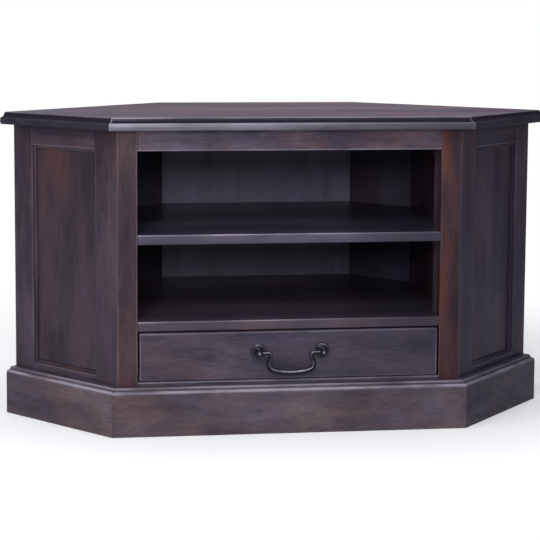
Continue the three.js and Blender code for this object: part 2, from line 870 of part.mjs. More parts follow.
// A post turned from one piece: a rose, a hollow up to the neck, and a round head that holds
// the pin of the bail. Its profile is radius against distance from the drawer's face.
function handlePost() {
  const hollowStart = roseRadius * roseHollowShare;
  const neckEnd = roseThickness + neckLength;
  const headCentre = pivotStandoff;
  const rim = bowed(
    new THREE.Vector2(roseRadius, seatGap),
    new THREE.Vector2(hollowStart, roseThickness),
    -roseThickness / 2,
    arrisSteps,
  );
  const hollow = bowed(
    new THREE.Vector2(hollowStart, roseThickness),
    new THREE.Vector2(neckRadius, neckEnd),
    (hollowStart - neckRadius) / 2,
    arrisSteps,
  );
  const neckTurn = Math.asin(neckRadius / headRadius);
  const headSteps = 2 * mouldingSteps;
  const head = Array.from({ length: headSteps + 1 }, (_, k) => {
    const turn = neckTurn + (Math.PI - neckTurn) * (k / headSteps);
    const radius = k === headSteps ? 0 : headRadius * Math.sin(turn);
    return new THREE.Vector2(radius, headCentre - headRadius * Math.cos(turn));
  });
  const profile = [new THREE.Vector2(0, seatGap), ...rim, ...hollow.slice(1), ...head];
  const turned = new THREE.LatheGeometry(profile, postSides).rotateX(Math.PI);
  const post = closedSolid(turned);
  const pinHole = new THREE.CylinderGeometry(
    bailPinRadius + bailPinClearance,
    bailPinRadius + bailPinClearance,
    headRadius + overrun,
    boltSides,
  );
  const pinHoleEnd = bailPinEntry + bailPinClearance - headRadius;
  pinHole.rotateZ(Math.PI / 2).translate(pinHoleEnd - (headRadius + overrun) / 2, -headCentre, 0);
  const boltHole = new THREE.CylinderGeometry(
    boltRadius + boltClearance,
    boltRadius + boltClearance,
    2 * (boltEntry + boltClearance),
    boltSides,
  );
  return post.subtract(closedSolid(pinHole)).subtract(closedSolid(boltHole));
}

// The bolt's head bears on the back of the drawer front, and its shank ends inside the post
function handleBolt() {
  const shankLength = frameThickness + seatGap + boltEntry + boltHeadThickness;
  const shank = new THREE.CylinderGeometry(boltRadius, boltRadius, shankLength, boltSides);
  shank.translate(0, shankLength / 2 - boltEntry, 0);
  const head = new THREE.CylinderGeometry(
    boltHeadRadius - boltHeadThickness / 2,
    boltHeadRadius,
    boltHeadThickness,
    boltSides,
  );
  const headRow = frameThickness + seatGap;
  head.translate(0, headRow + boltHeadThickness / 2, 0);
  const headEnd = headRow + boltHeadThickness;
  const slot = block(
    grown([-boltHeadRadius, boltHeadRadius], overrun),
    [headEnd - boltSlotDepth, headEnd + overrun],
    [-boltSlotWidth / 2, boltSlotWidth / 2],
  );
  return closedSolid(shank).add(closedSolid(head)).subtract(slot);
}

// The bail: a round bar swept along its centre line, thin at its pins and swelling in its bar
function handleBail() {
  const pinEnd = new THREE.Vector3(-(handlePitch / 2 - headRadius + bailPinEntry), 0, 0);
  const half = [pinEnd, ...bailShares.map(([across, down]) => (
    new THREE.Vector3(-across * bailHalfWidth, 0, -down * bailDrop)
  ))];
  const rest = half.slice(0, -1).reverse().map((point) => new THREE.Vector3(-point.x, 0, point.z));
  const path = new THREE.CatmullRomCurve3([...half, ...rest], false, 'centripetal');
  const rings = Array.from({ length: bailSteps + 1 }, (_, k) => {
    const share = k / bailSteps;
    const centre = path.getPointAt(share);
    const tangent = path.getTangentAt(share);
    const across = new THREE.Vector3(-tangent.z, 0, tangent.x).normalize();
    const radius = bailRadius(Math.min(share, 1 - share));
    return Array.from({ length: bailSides }, (__, j) => {
      const turn = (2 * Math.PI * j) / bailSides;
      const point = centre.clone().addScaledVector(across, radius * Math.cos(turn));
      point.y += radius * Math.sin(turn);
      return point;
    });
  });
  const end = Array.from({ length: bailSides }, (_, j) => {
    const turn = (2 * Math.PI * j) / bailSides;
    return new THREE.Vector2(Math.cos(turn), Math.sin(turn));
  });
  return loft(rings, end);
}

function bailRadius(share) {
  const leg = THREE.MathUtils.smoothstep(share, bailPinShare / 2, bailPinShare);
  const bar = THREE.MathUtils.smoothstep(share, bailBarShare / 2, bailBarShare);
  return bailPinRadius + (bailLegRadius - bailPinRadius) * leg + (bailBarRadius - bailLegRadius) * bar;
}

// Assembly
function piece(name, solid, finishName) {
  const [color, roughness, metalness] = finishes[finishName];
  const geometry = solidGeometry(solid).toNonIndexed();
  geometry.computeVertexNormals();
  const material = new THREE.MeshStandardMaterial({ color, roughness, metalness });
  const mesh = new THREE.Mesh(geometry, material);
  mesh.name = name;
  return mesh;
}

// Adds a right-hand piece to the right-hand group and its mirror image to the left-hand group
function addPair({ left, right }, name, solid, finishName) {
  right.add(piece(`${name}_right`, solid, finishName));
  left.add(piece(`${name}_left`, mirrored(solid), finishName));
}

function pairOfGroups(parent, corner, turn) {
  const groups = { left: new THREE.Group(), right: new THREE.Group() };
  groups.right.position.set(corner.x, corner.y, 0);
  groups.right.rotation.z = turn;
  groups.left.position.set(-corner.x, corner.y, 0);
  groups.left.rotation.z = -turn;
  parent.add(groups.left, groups.right);
  return groups;
}

const cabinet = new THREE.Group();
const carcass = new THREE.Group();
const drawer = new THREE.Group();
cabinet.add(carcass, drawer);

carcass.add(piece('top_board', topBoard(), 'polishedTop'));
carcass.add(piece(
  'front_top_rail',
  frontRail([topRailBottom, carcassTop], arrisRadius, 0),
  'polishedFrame',
));
carcass.add(piece(
  'front_bottom_rail',
  frontRail([frontRailTop - frontRailWidth, frontRailTop], 0, arrisRadius),
  'polishedFrame',
));
carcass.add(piece('middle_shelf', shelf(middleShelfTop), 'innerBoard'));
carcass.add(piece('lower_shelf', shelf(lowerShelfTop), 'innerBoard'));
carcass.add(piece('base_board', baseBoard(), 'hiddenWood'));
carcass.add(piece('back_wall_centre', backWall(), 'innerBoard'));
carcass.add(piece('plinth_front', plinthFrontBoard(), 'polishedPlinth'));
carcass.add(piece('top_cleat_front', frontCleat(overallHeight - topThickness), 'hiddenWood'));
carcass.add(piece('base_cleat_front', frontCleat(baseTop - baseThickness), 'hiddenWood'));

const sides = { left: carcass, right: carcass };
addPair(sides, 'front_stile', frontStile(), 'polishedFrame');
addPair(sides, 'opening_post', openingPost(), 'polishedFrame');
addPair(sides, 'compartment_side', uprightSide(), 'innerBoard');
addPair(sides, 'corner_tongue', mitreTongue(0), 'hiddenWood');
addPair(sides, 'drawer_runner', drawerRunner(), 'hiddenWood');
addPair(sides, 'drawer_guide', drawerGuide(), 'hiddenWood');
addPair(sides, 'drawer_stop', drawerStop(), 'hiddenWood');

const wings = pairOfGroups(carcass, bodyCorner, cornerTurn);
addPair(wings, 'wing_front_stile', wingFrontStile(), 'polishedFrame');
addPair(wings, 'wing_rear_stile', wingRearStile(), 'polishedFrame');
addPair(wings, 'wing_top_rail', wingRail(wingRails.top, arrisRadius, 0), 'polishedFrame');
addPair(wings, 'wing_bottom_rail', wingRail(wingRails.bottom, 0, arrisRadius), 'polishedFrame');
addPair(wings, 'wing_panel', panelBoard(0), 'polishedPanel');
addPair(wings, 'panel_bead', panelBead(), 'polishedPanel');
addPair(wings, 'top_cleat', wingCleat(overallHeight - topThickness), 'hiddenWood');

const walls = pairOfGroups(carcass, wingEnd, wallTurn);
addPair(walls, 'back_wall', slantingWall(), 'innerBoard');

const plinths = pairOfGroups(carcass, plinthCorner, cornerTurn);
addPair(plinths, 'plinth', plinthWingBoard(), 'polishedPlinth');

const drawerSides = { left: drawer, right: drawer };
drawer.add(piece('drawer_front', drawerFront(), 'polishedFrame'));
drawer.add(piece('drawer_back', drawerBackBoard(0), 'drawerLining'));
drawer.add(piece('drawer_bottom', drawerBottomBoard(0), 'drawerLining'));
addPair(drawerSides, 'drawer_side', drawerSide(), 'drawerLining');

const posts = pairOfGroups(drawer, new THREE.Vector2(handlePitch / 2, bodyRow), 0);
posts.left.position.z = pivotHeight;
posts.right.position.z = pivotHeight;
addPair(posts, 'handle_post', handlePost(), 'darkBronze');
addPair(posts, 'handle_bolt', handleBolt(), 'darkBronze');

const bail = new THREE.Group();
bail.position.set(0, bodyRow - pivotStandoff, pivotHeight);
bail.add(piece('handle_bail', handleBail(), 'darkBronze'));
drawer.add(bail);

export default cabinet;
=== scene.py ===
"""Looks of a corner television cabinet in dark polished wood.

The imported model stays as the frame. The boards that show get eased edges and fine mouldings here,
and every piece gets its own grain. Lengths are metres, +Z is up and the front looks along -Y.
"""

import math

import bpy
import numpy as np
from mathutils import Matrix, Vector


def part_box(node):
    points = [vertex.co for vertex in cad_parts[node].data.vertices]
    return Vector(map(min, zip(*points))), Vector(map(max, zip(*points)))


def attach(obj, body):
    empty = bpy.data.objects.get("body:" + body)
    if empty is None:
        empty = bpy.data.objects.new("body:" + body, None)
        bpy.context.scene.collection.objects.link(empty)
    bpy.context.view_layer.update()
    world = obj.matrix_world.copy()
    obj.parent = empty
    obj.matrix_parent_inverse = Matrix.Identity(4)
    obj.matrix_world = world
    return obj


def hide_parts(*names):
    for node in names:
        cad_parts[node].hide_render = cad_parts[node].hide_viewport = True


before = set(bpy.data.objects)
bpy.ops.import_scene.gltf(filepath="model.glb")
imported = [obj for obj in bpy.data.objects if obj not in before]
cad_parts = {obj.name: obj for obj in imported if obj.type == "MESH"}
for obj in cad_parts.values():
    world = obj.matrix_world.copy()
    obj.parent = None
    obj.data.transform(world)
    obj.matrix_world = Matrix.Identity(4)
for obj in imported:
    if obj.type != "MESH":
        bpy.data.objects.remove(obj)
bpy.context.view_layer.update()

# Sizes, as the frame has them
MM = 0.001
WIDTH, DEPTH, HEIGHT = 0.88, 0.43, 0.48
FRONT_SHARE = 0.626
OVERHANG = 29.3 * MM
FRAME = 20 * MM
GAP = 0.3 * MM
WALL = 15 * MM
TURN = math.pi / 4
STILE = 31.2 * MM
WING_FRONT_STILE = 44 * MM
WING_REAR_STILE = 41.6 * MM
TOP_THICK = 18.8 * MM
BODY_TOP = HEIGHT - TOP_THICK - GAP
RAIL_LOW = BODY_TOP - 32.3 * MM
BOTTOM_RAIL = (30.5 * MM, 78.5 * MM)
WING_RAIL_LOW, WING_RAIL_TOP = 30 * MM, 84 * MM
PANEL_SET_BACK = 7 * MM
BEAD_WIDE, BEAD_HIGH = 4.4 * MM, 4 * MM
MIDDLE_SHELF_TOP, LOWER_SHELF_TOP = 302.3 * MM, 170.6 * MM
SHELF_THICK = 14.7 * MM
SIDE_INSET = 25 * MM
POST_DEPTH = 22.7 * MM
HOUSING = 5 * MM
PLINTH_THICK = 19.9 * MM
PLINTH_HIGH = 72.8 * MM
PIVOT_HIGH, PIVOT_OUT = 122.2 * MM, 13.6 * MM
POST_HALF_SPACING, PIN_END = 49.2 * MM, 47.4 * MM
BAIL_HALF_WIDTH, BAIL_DROP = 35 * MM, 30.5 * MM


# Plan lines: an origin, a direction along the face and a direction into the cabinet
def face_line(x, y, turn):
    """The plan line through (x, y), turned by an angle from the front's own direction."""
    along = np.array([math.cos(turn), math.sin(turn)])
    inward = np.array([-math.sin(turn), math.cos(turn)])
    return np.array([x, y]), along, inward


def set_in(line, distance):
    """The same line, moved into the cabinet."""
    origin, along, inward = line
    return origin + inward * distance, along, inward


def meet(first, second):
    """Where two plan lines cross: the step along the first that brings it onto the second."""
    (a, along, _), (b, other, _) = first, second
    apart = b - a
    step = apart[0] * other[1] - apart[1] * other[0]
    return a + along * step / (along[0] * other[1] - along[1] * other[0])


FRONT_HALF = WIDTH * FRONT_SHARE / 2
TOP_FRONT = face_line(0, -DEPTH / 2, 0)
TOP_WING = face_line(FRONT_HALF, -DEPTH / 2, TURN)
WALL_LINE = face_line(WIDTH / 2, -DEPTH / 2 + WIDTH / 2 - FRONT_HALF, TURN + math.pi / 2)
BACK_LINE = face_line(0, DEPTH / 2, math.pi)
BODY_FRONT = set_in(TOP_FRONT, OVERHANG)
BODY_WING = set_in(TOP_WING, OVERHANG)
CORNER = meet(BODY_FRONT, BODY_WING)
WING_END = meet(BODY_WING, WALL_LINE)
WING_LONG = float(np.linalg.norm(WING_END - CORNER))
BODY_ROW = float(CORNER[1])
OPENING = float(CORNER[0]) - STILE
LIP = OPENING - GAP
POST_ROW = BODY_ROW + FRAME + GAP
POST_REAR = POST_ROW + POST_DEPTH
WING_SPAN = (WING_FRONT_STILE + GAP, WING_LONG - WING_REAR_STILE - GAP)
MITRE = math.tan(TURN / 2)
MITRE_GAP = GAP / 2 / math.cos(TURN / 2)
X, Y, Z = (1, 0, 0), (0, 1, 0), (0, 0, 1)


# Surfaces: rings of points joined one after the other
def surface(name, rings, wear_and_highlight, loop=False, sharp=38):
    """A closed skin over rings of points. Point k of ring i joins point k + 1 and ring i + 1 in a
    quad. The first and last rings are closed by flat faces, or joined to each other in a loop.
    The faces point outwards, because the sign of the enclosed volume decides their order. The
    attribute wear_and_highlight keeps each point's share of rubbing and of painted highlight."""
    rings = np.asarray(rings, float)
    count, around = rings.shape[:2]
    spans = count if loop else count - 1
    i, k = np.meshgrid(np.arange(spans), np.arange(around), indexing="ij")
    near, far, step = i * around, (i + 1) % count * around, (k + 1) % around
    quads = np.stack([near + k, near + step, far + step, far + k], -1).reshape(-1, 4)
    points = rings.reshape(-1, 3)
    a, b, c, d = (points[quads[:, n]] for n in range(4))
    volume = np.sum(a * np.cross(b, c)) + np.sum(a * np.cross(c, d))
    first, last = list(range(around)), list(range((count - 1) * around, count * around))
    ends = [] if loop else [first[::-1], last]
    for end in ends:
        fan = points[end]
        volume += np.sum(fan[0] * np.cross(fan[1:-1], fan[2:]))
    faces = quads.tolist() + ends
    if volume < 0:
        faces = [face[::-1] for face in faces]
    mesh = bpy.data.meshes.new(name)
    mesh.from_pydata(points.tolist(), [], faces)
    mesh.polygons.foreach_set("use_smooth", np.ones(len(faces), bool))
    mesh.set_sharp_from_angle(angle=math.radians(sharp))
    rub_and_highlight = mesh.attributes.new("wear_and_highlight", "FLOAT", "POINT")
    rub_and_highlight.data.foreach_set("value", np.broadcast_to(wear_and_highlight, rings.shape[:2]).astype(np.float32).ravel())
    made = bpy.data.objects.new(name, mesh)
    bpy.context.scene.collection.objects.link(made)
    return made


def place(made, body, material, node):
    """Gives a new piece its finish and its body, and puts it in a node's stead."""
    made.data.materials.append(material)
    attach(made, body)
    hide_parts(node)


def swung(spoke, turns):
    """A plan vector turned by each of the angles."""
    cos, sin = np.cos(turns), np.sin(turns)
    return np.stack([spoke[0] * cos - spoke[1] * sin, spoke[0] * sin + spoke[1] * cos], -1)


def eased(corners, radii, steps=5, fade=0.8 * MM):
    """The outline through the corners, with an arc of each radius in its corner: the arc's centre
    lies on the corner's middle line, at the radius over the sine of half the corner's angle. The
    share of rubbing and painted highlight is 1 on the arcs and falls to 0 at a small distance past
    both of their ends."""
    points, rub_and_highlight = [], []
    total = len(corners)
    corners = [np.array(c, float) for c in corners]
    for n, (corner, radius) in enumerate(zip(corners, radii)):
        if not radius:
            points.append(corner)
            rub_and_highlight.append(0.0)
            continue
        before, after = corners[n - 1] - corner, corners[(n + 1) % total] - corner
        before, after = before / np.linalg.norm(before), after / np.linalg.norm(after)
        half = math.acos(float(np.clip(before @ after, -1, 1))) / 2
        middle = (before + after) / np.linalg.norm(before + after)
        centre = corner + middle * radius / math.sin(half)
        reach = radius / math.tan(half)
        start, end = corner + before * reach - centre, corner + after * reach - centre
        sweep = math.atan2(start[0] * end[1] - start[1] * end[0], float(start @ end))
        arc = centre + swung(start, sweep * np.linspace(0, 1, steps + 1))
        points += [corner + before * (reach + fade), *arc, corner + after * (reach + fade)]
        rub_and_highlight += [0.0, *np.ones(steps + 1), 0.0]
    return np.array(points), np.array(rub_and_highlight)


def carried(outline, origin, across, up, along, ends):
    """An outline carried straight: each point is origin + across x + up y + along s, at both ends."""
    origin, across, up, along = (np.asarray(v, float) for v in (origin, across, up, along))
    flat = outline[:, :1] * across + outline[:, 1:] * up
    return np.stack([origin + flat + along * s for s in ends])


def upright(outline, low=0.0):
    """A plan outline carried straight up to the underside of the top."""
    return carried(outline, (0, 0, 0), X, Y, Z, (low, BODY_TOP))


def at_height(plan, height):
    """A plan outline as one level ring."""
    return np.column_stack([plan, np.full(len(plan), height)])


def mirrored(rings):
    """The left-hand shape: each point's x changes its sign."""
    return np.asarray(rings) * [-1, 1, 1]


def bowed(start, end, bulge, steps):
    """Points of a parabola over the chord from start to end, which stands off by bulge halfway."""
    start, end = np.array(start, float), np.array(end, float)
    chord = end - start
    side = np.array([-chord[1], chord[0]]) / np.linalg.norm(chord)
    share = np.linspace(0, 1, steps + 1)[:, None]
    return start + chord * share + side * 4 * bulge * share * (1 - share)


def graded(count, places, shares):
    """Worn shares of evenly spaced points, read off straight lines between the places given."""
    return np.interp(np.linspace(0, 1, count), places, shares)


# Shader values: arithmetic on a wrapped socket adds Math nodes
class Amount:
    def __init__(self, paint, socket):
        self.paint, self.socket = paint, socket

    def __add__(self, other):
        return self.paint.math("ADD", self, other)

    def __sub__(self, other):
        return self.paint.math("SUBTRACT", self, other)

    def __rsub__(self, other):
        return self.paint.math("SUBTRACT", other, self)

    def __mul__(self, other):
        return self.paint.math("MULTIPLY", self, other)

    __radd__, __rmul__ = __add__, __mul__


class Paint:
    def __init__(self, name, store=bpy.data.materials):
        self.material = store.new(name)
        self.material.use_nodes = True
        self.tree = self.material.node_tree
        self.tree.nodes.clear()

    def node(self, kind, settings=None, inputs=None, output=0):
        made = self.tree.nodes.new("ShaderNode" + kind)
        for key, value in (settings or {}).items():
            setattr(made, key, value)
        for key, value in (inputs or {}).items():
            if isinstance(value, Amount):
                self.tree.links.new(value.socket, made.inputs[key])
            else:
                made.inputs[key].default_value = value
        return None if output is None else Amount(self, made.outputs[output])

    def math(self, operation, *values):
        return self.node("Math", {"operation": operation}, dict(enumerate(values)))

    def vector(self, operation, *values, output=0):
        return self.node("VectorMath", {"operation": operation}, dict(enumerate(values)), output)

    def spot(self, kind="Object"):
        """The place that is being painted."""
        return self.node("TexCoord", None, None, kind)

    def noise(self, spot, detail, rough):
        inputs = {"Vector": spot, "Scale": 1.0, "Detail": detail, "Roughness": rough}
        return self.node("TexNoise", {"noise_dimensions": "3D"}, inputs)

    def rise(self, value, low, high, to_low=0.0, to_high=1.0):
        """Eases from to_low to to_high while value goes from low to high."""
        inputs = {"Value": value, "From Min": low, "From Max": high, "To Min": to_low, "To Max": to_high}
        return self.node("MapRange", {"interpolation_type": "SMOOTHSTEP"}, inputs)

    def more(self, first, second):
        """The larger of two amounts."""
        return self.math("MAXIMUM", first, second)

    def size(self, value):
        """An amount without its sign."""
        return self.math("ABSOLUTE", value)

    def blend(self, share, first, second):
        """A colour between first and second."""
        colours = [(*c, 1.0) if isinstance(c, tuple) else c for c in (first, second)]
        return self.node("Mix", {"data_type": "RGBA"}, {0: share, 6: colours[0], 7: colours[1]}, 2)

    def rub_and_highlight(self):
        """The share of rubbing and painted highlight that the piece's points carry."""
        return self.node("Attribute", {"attribute_name": "wear_and_highlight"}, None, "Fac")

    def split(self, vector):
        """The three parts of a vector."""
        x = self.node("SeparateXYZ", None, {0: vector})
        return [Amount(self, socket) for socket in x.socket.node.outputs]

    def seen(self, share):
        """1 for what the camera sees, share for what shows in polish or through a clear piece."""
        rays = ("Is Camera Ray", "Is Glossy Ray", "Is Transmission Ray")
        camera, glossy, through = (self.node("LightPath", None, None, ray) for ray in rays)
        return self.more(camera, self.more(glossy, through) * share)

    def out(self, shader, kind="OutputMaterial"):
        self.node(kind, None, {"Surface": shader}, None)
        return self.material

    def finish(self, settings):
        return self.out(self.node("BsdfPrincipled", None, settings))


# Grain directions: along the fibres, across them on the face, and into the board
GRAINS = {"x": (X, Z, Y), "z": (Z, X, Y), "y": (Y, X, Z)}
for side, sign in (("left", -1), ("right", 1)):
    way = (sign * math.cos(TURN), math.sin(TURN), 0)
    depth = (-sign * math.sin(TURN), math.cos(TURN), 0)
    GRAINS["wing_" + side] = (way, Z, depth)
    GRAINS["upright_" + side] = (Z, way, depth)

# Waves of each noise in a metre, along the grain and across it
DRIFT, FIGURE, STREAK, FIBRE, HAIR = (3, 7), (2.2, 26), (6, 95), (18, 360), (45, 1300)
CLOUD, FILM, KNOT = (4.5, 10), (7, 9), (22, 70)

# The dark colour of gathered stain, and of painted shade where less light falls
DARK_STAIN_AND_SHADE = (0.012, 0.01, 0.018)


def wood(name, grain, seed, dark, mid, warm, pale, gloss=0.3, haze=0.12, knots=0.0, shine=0.15,
         patch=1.0, run=1.0, crisp=0.0, cool=0.0, edge=None, stain_and_shade=None):
    """Stained wood under lacquer. Noises stretched along the grain make the broad figure, the
    streaks, the fibres and the pores. Rounder ones make the stain's warm clouds, the lacquer's
    pale film and small dark knots. Rubbing on the arrises and painted highlight along them come
    from the piece's own attribute, or from the edge function of the place: they are paler and take
    a brighter polish. The stain_and_shade function of the place says where dark stain has gathered
    and where shade is painted in. The seed picks the board's place in the tree,
    gloss is the lacquer's roughness and shine its mirror share, haze and knots weigh the film and
    the knots, patch and run crowd the clouds and the figure, crisp brings out the fibres and cool
    leaves less of the wood warm."""
    paint = Paint(name)
    spot = paint.spot()
    way, across, depth = (paint.vector("DOT_PRODUCT", spot, v, output=1) for v in GRAINS[grain])
    way, across, depth = way + seed * 0.37, across + seed * 0.113, depth + seed * 0.071

    def field(waves, detail, rough=0.5, aside=0.0, crowd=1.0):
        """Noise of so many waves along the grain, crowded by a factor, and across it."""
        along, square = waves
        inputs = {0: way * (along * crowd), 1: (across + aside) * square, 2: depth * square}
        return paint.noise(paint.node("CombineXYZ", None, inputs), detail, rough)

    drift = (field(DRIFT, 1.0) - 0.5) * 0.02
    figure = field(FIGURE, 3.0, 0.55, drift, run)
    streak = field(STREAK, 2.0, 0.5, drift, run)
    fibre = field(FIBRE, 3.0, 0.6, drift, run)
    hair = field(HAIR, 2.0, 0.6, drift)
    cloud = field([waves * patch for waves in CLOUD], 2.0)
    film = field(FILM, 3.0, 0.6, 3.1)
    knot = paint.rise(field(KNOT, 2.0, 0.5, 5.7), 0.66, 0.78)
    pores = paint.rise(hair, 0.38, 0.28)
    grains = figure * (0.6 - 0.15 * crisp) + streak * (0.2 + 0.02 * crisp) + fibre * (0.2 + 0.13 * crisp)
    tone = paint.rise(grains, 0.3 + 0.04 * crisp, 0.68 - 0.04 * crisp)
    colour = paint.blend(paint.rise(cloud * 0.8 + figure * 0.2, 0.4 + cool, 0.6 + cool), mid, warm)
    colour = paint.blend(1 - tone, colour, dark)
    colour = paint.blend(paint.rise(film * 0.8 + fibre * 0.2, 0.42, 0.68) * haze, colour, pale)
    pit = tuple(0.4 * value for value in dark)
    colour = paint.blend(paint.more(pores * 0.5, knot * knots), colour, pit)
    # Dark stain, and painted shade where less light falls, as the place's function says
    if stain_and_shade:
        colour = paint.blend(stain_and_shade(paint, spot), colour, DARK_STAIN_AND_SHADE)
    # The pale arris colour is partly real rubbing and partly painted highlight on the rounded edges
    rub_and_highlight = edge(paint, spot) if edge else paint.rub_and_highlight()
    rub_and_highlight = rub_and_highlight * paint.rise(streak * 0.5 + film * 0.5, 0.35, 0.6, 0.35, 1.0)
    colour = paint.blend(rub_and_highlight * 0.5, colour, pale)
    rough = gloss + film * 0.16 + fibre * 0.08 - rub_and_highlight * 0.05 - 0.12
    height = fibre * 0.4 + hair * 0.3 - pores * 0.5 + streak * 0.3
    bump = paint.node("Bump", None, {"Strength": 0.25, "Distance": 0.0004, "Height": height})
    return paint.finish({
        "Base Color": colour, "Roughness": rough, "Normal": bump, "IOR": 1.45,
        "Specular IOR Level": shine, "Coat Weight": rub_and_highlight * 0.6, "Coat Roughness": 0.22,
    })


def bronze(name):
    """Black bronze with a soft polish. The piece's attribute paints highlights in pale metal where
    light catches the handle.
    """
    black, brown, highlight_metal = (0.003, 0.002, 0.006), (0.01, 0.008, 0.015), (0.5, 0.48, 0.58)
    waves = (180, 180, 180)
    paint = Paint(name)
    cloud = paint.noise(paint.vector("MULTIPLY", paint.spot(), waves), 3.0, 0.6)
    rub_and_highlight = paint.rub_and_highlight() * paint.rise(cloud, 0.3, 0.55, 0.5, 1.0)
    colour = paint.blend(paint.rise(cloud, 0.35, 0.7), black, brown)
    colour = paint.blend(rub_and_highlight, colour, highlight_metal)
    rough = 0.12 + cloud * 0.06 + rub_and_highlight * 0.12
    bump = paint.node("Bump", None, {"Strength": 0.03, "Distance": 0.0001, "Height": cloud})
    return paint.finish({
        "Base Color": colour, "Roughness": rough, "Normal": bump, "Metallic": rub_and_highlight,
        "Specular IOR Level": 0.15,
    })


# Finishes: dark, middle, warm and pale tone of each
FRAME_TONES = ((0.014, 0.011, 0.021), (0.04, 0.027, 0.042), (0.06, 0.031, 0.036), (0.15, 0.125, 0.16))
REDDER_TONES = ((0.011, 0.006, 0.01), (0.03, 0.014, 0.02), (0.064, 0.022, 0.017), (0.1, 0.07, 0.075))
STILE_TONES = ((0.015, 0.01, 0.016), (0.038, 0.022, 0.032), (0.062, 0.028, 0.03), (0.16, 0.12, 0.12))
WING_TONES = ((0.013, 0.01, 0.018), (0.037, 0.024, 0.036), (0.05, 0.026, 0.031), (0.14, 0.115, 0.145))
RAIL_TONES = ((0.018, 0.015, 0.03), (0.046, 0.034, 0.056), (0.074, 0.041, 0.042), (0.17, 0.155, 0.21))
PANEL_TONES = ((0.013, 0.01, 0.016), (0.033, 0.02, 0.03), (0.051, 0.024, 0.024), (0.1, 0.075, 0.1))
# Darker copy of the wing tones for the right-hand wing: painted shade of the side that gets less light
SHADED_TONES = ((0.012, 0.01, 0.02), (0.029, 0.022, 0.038), (0.042, 0.022, 0.031), (0.1, 0.09, 0.125))
# The right-hand bead's tones, darker still: painted shade
BEAD_SHADED_TONES = ((0.008, 0.007, 0.013), (0.019, 0.015, 0.026), (0.023, 0.015, 0.023), (0.06, 0.055, 0.08))
DRAWER_TONES = ((0.02, 0.017, 0.03), (0.05, 0.041, 0.063), (0.062, 0.042, 0.052), (0.135, 0.12, 0.175))
# The top's tones are lighter than the other boards': painted sheen of the upper face seen at a low angle,
# in place of the lacquer's own reflection
TOP_SHEEN_TONES = ((0.034, 0.027, 0.042), (0.128, 0.101, 0.135), (0.146, 0.092, 0.114), (0.42, 0.4, 0.48))
PLINTH_TONES = ((0.026, 0.019, 0.028), (0.06, 0.044, 0.059), (0.078, 0.051, 0.053), (0.4, 0.37, 0.46))
# Darker copy of the plinth tones for its right-hand wing: painted shade
PLINTH_SHADED_TONES = ((0.02, 0.017, 0.028), (0.046, 0.039, 0.058), (0.054, 0.041, 0.054), (0.25, 0.23, 0.3))
INNER_TONES = ((0.02, 0.016, 0.028), (0.034, 0.027, 0.044), (0.04, 0.026, 0.036), (0.13, 0.13, 0.19))
# The shelves' very pale tone paints the highlight line along their lips
SHELF_TONES = ((0.022, 0.02, 0.037), (0.044, 0.04, 0.07), (0.049, 0.038, 0.056), (0.7, 0.68, 0.86))
LOW_SHELF_TONES = ((0.025, 0.02, 0.034), (0.047, 0.037, 0.056), (0.064, 0.036, 0.043), (0.34, 0.31, 0.37))
SIDE_TONES = ((0.01, 0.007, 0.011), (0.026, 0.015, 0.024), (0.036, 0.015, 0.021), (0.11, 0.1, 0.15))
REVEAL_TONES = ((0.03, 0.017, 0.027), (0.07, 0.04, 0.057), (0.095, 0.04, 0.048), (0.15, 0.12, 0.16))
BACK_TONES = ((0.054, 0.051, 0.078), (0.092, 0.087, 0.14), (0.098, 0.083, 0.122), (0.15, 0.15, 0.22))
HIDDEN_TONES = ((0.13, 0.085, 0.055), (0.22, 0.15, 0.1), (0.25, 0.155, 0.1), (0.3, 0.23, 0.17))
LINING_TONES = ((0.22, 0.14, 0.08), (0.34, 0.23, 0.14), (0.38, 0.24, 0.14), (0.45, 0.34, 0.24))

# Mirror share of the lacquer on the left, and a lower one on the right-hand wing, which with its
# darker tones paints the shade of that less lit side
NEAR_SHINE, FAR_SHINE = 0.15, 0.04


# Front and wing frames
def wing_place(rings):
    """From a wing's own frame (along, inward, up) to the right-hand wing of the cabinet: a turn
    about the upright corner of front and wing."""
    rings = np.asarray(rings, float)
    x = CORNER[0] + rings[..., 0] * math.cos(TURN) - rings[..., 1] * math.sin(TURN)
    y = CORNER[1] + rings[..., 0] * math.sin(TURN) + rings[..., 1] * math.cos(TURN)
    return np.stack([x, y, rings[..., 2]], -1)


def add_pair(stem, rings, rub_and_highlight, materials, shares=(1, 1), loop=False):
    """A right-hand piece from its rings and the left-hand one as their mirror image."""
    for side, shape, n in (("left", mirrored(rings), 0), ("right", rings, 1)):
        made = surface(f"{stem}_{side}_eased", shape, rub_and_highlight * shares[n], loop)
        place(made, "carcass", materials[n], f"{stem}_{side}")


inner_edge = CORNER[0] - FRAME * MITRE - MITRE_GAP
inner_row = BODY_ROW + FRAME
outline, rub_and_highlight = eased(
    [(OPENING, BODY_ROW), (CORNER[0] - MITRE_GAP, BODY_ROW), (inner_edge, inner_row), (OPENING, inner_row)],
    [1.6 * MM, 0.9 * MM, 0, 0.3 * MM],
)
# The right stile keeps less of the pale arris line: rubbing with painted highlight, weaker where less light
# reaches
add_pair("front_stile", upright(outline), rub_and_highlight, (
    wood("stile_wood_left", "z", 1.3, *STILE_TONES, patch=1.6, run=2.6, cool=0.08),
    wood("stile_wood_right", "z", 2.1, *REDDER_TONES, patch=1.6, run=2.6, cool=0.1),
), shares=(0.8, 0.3))

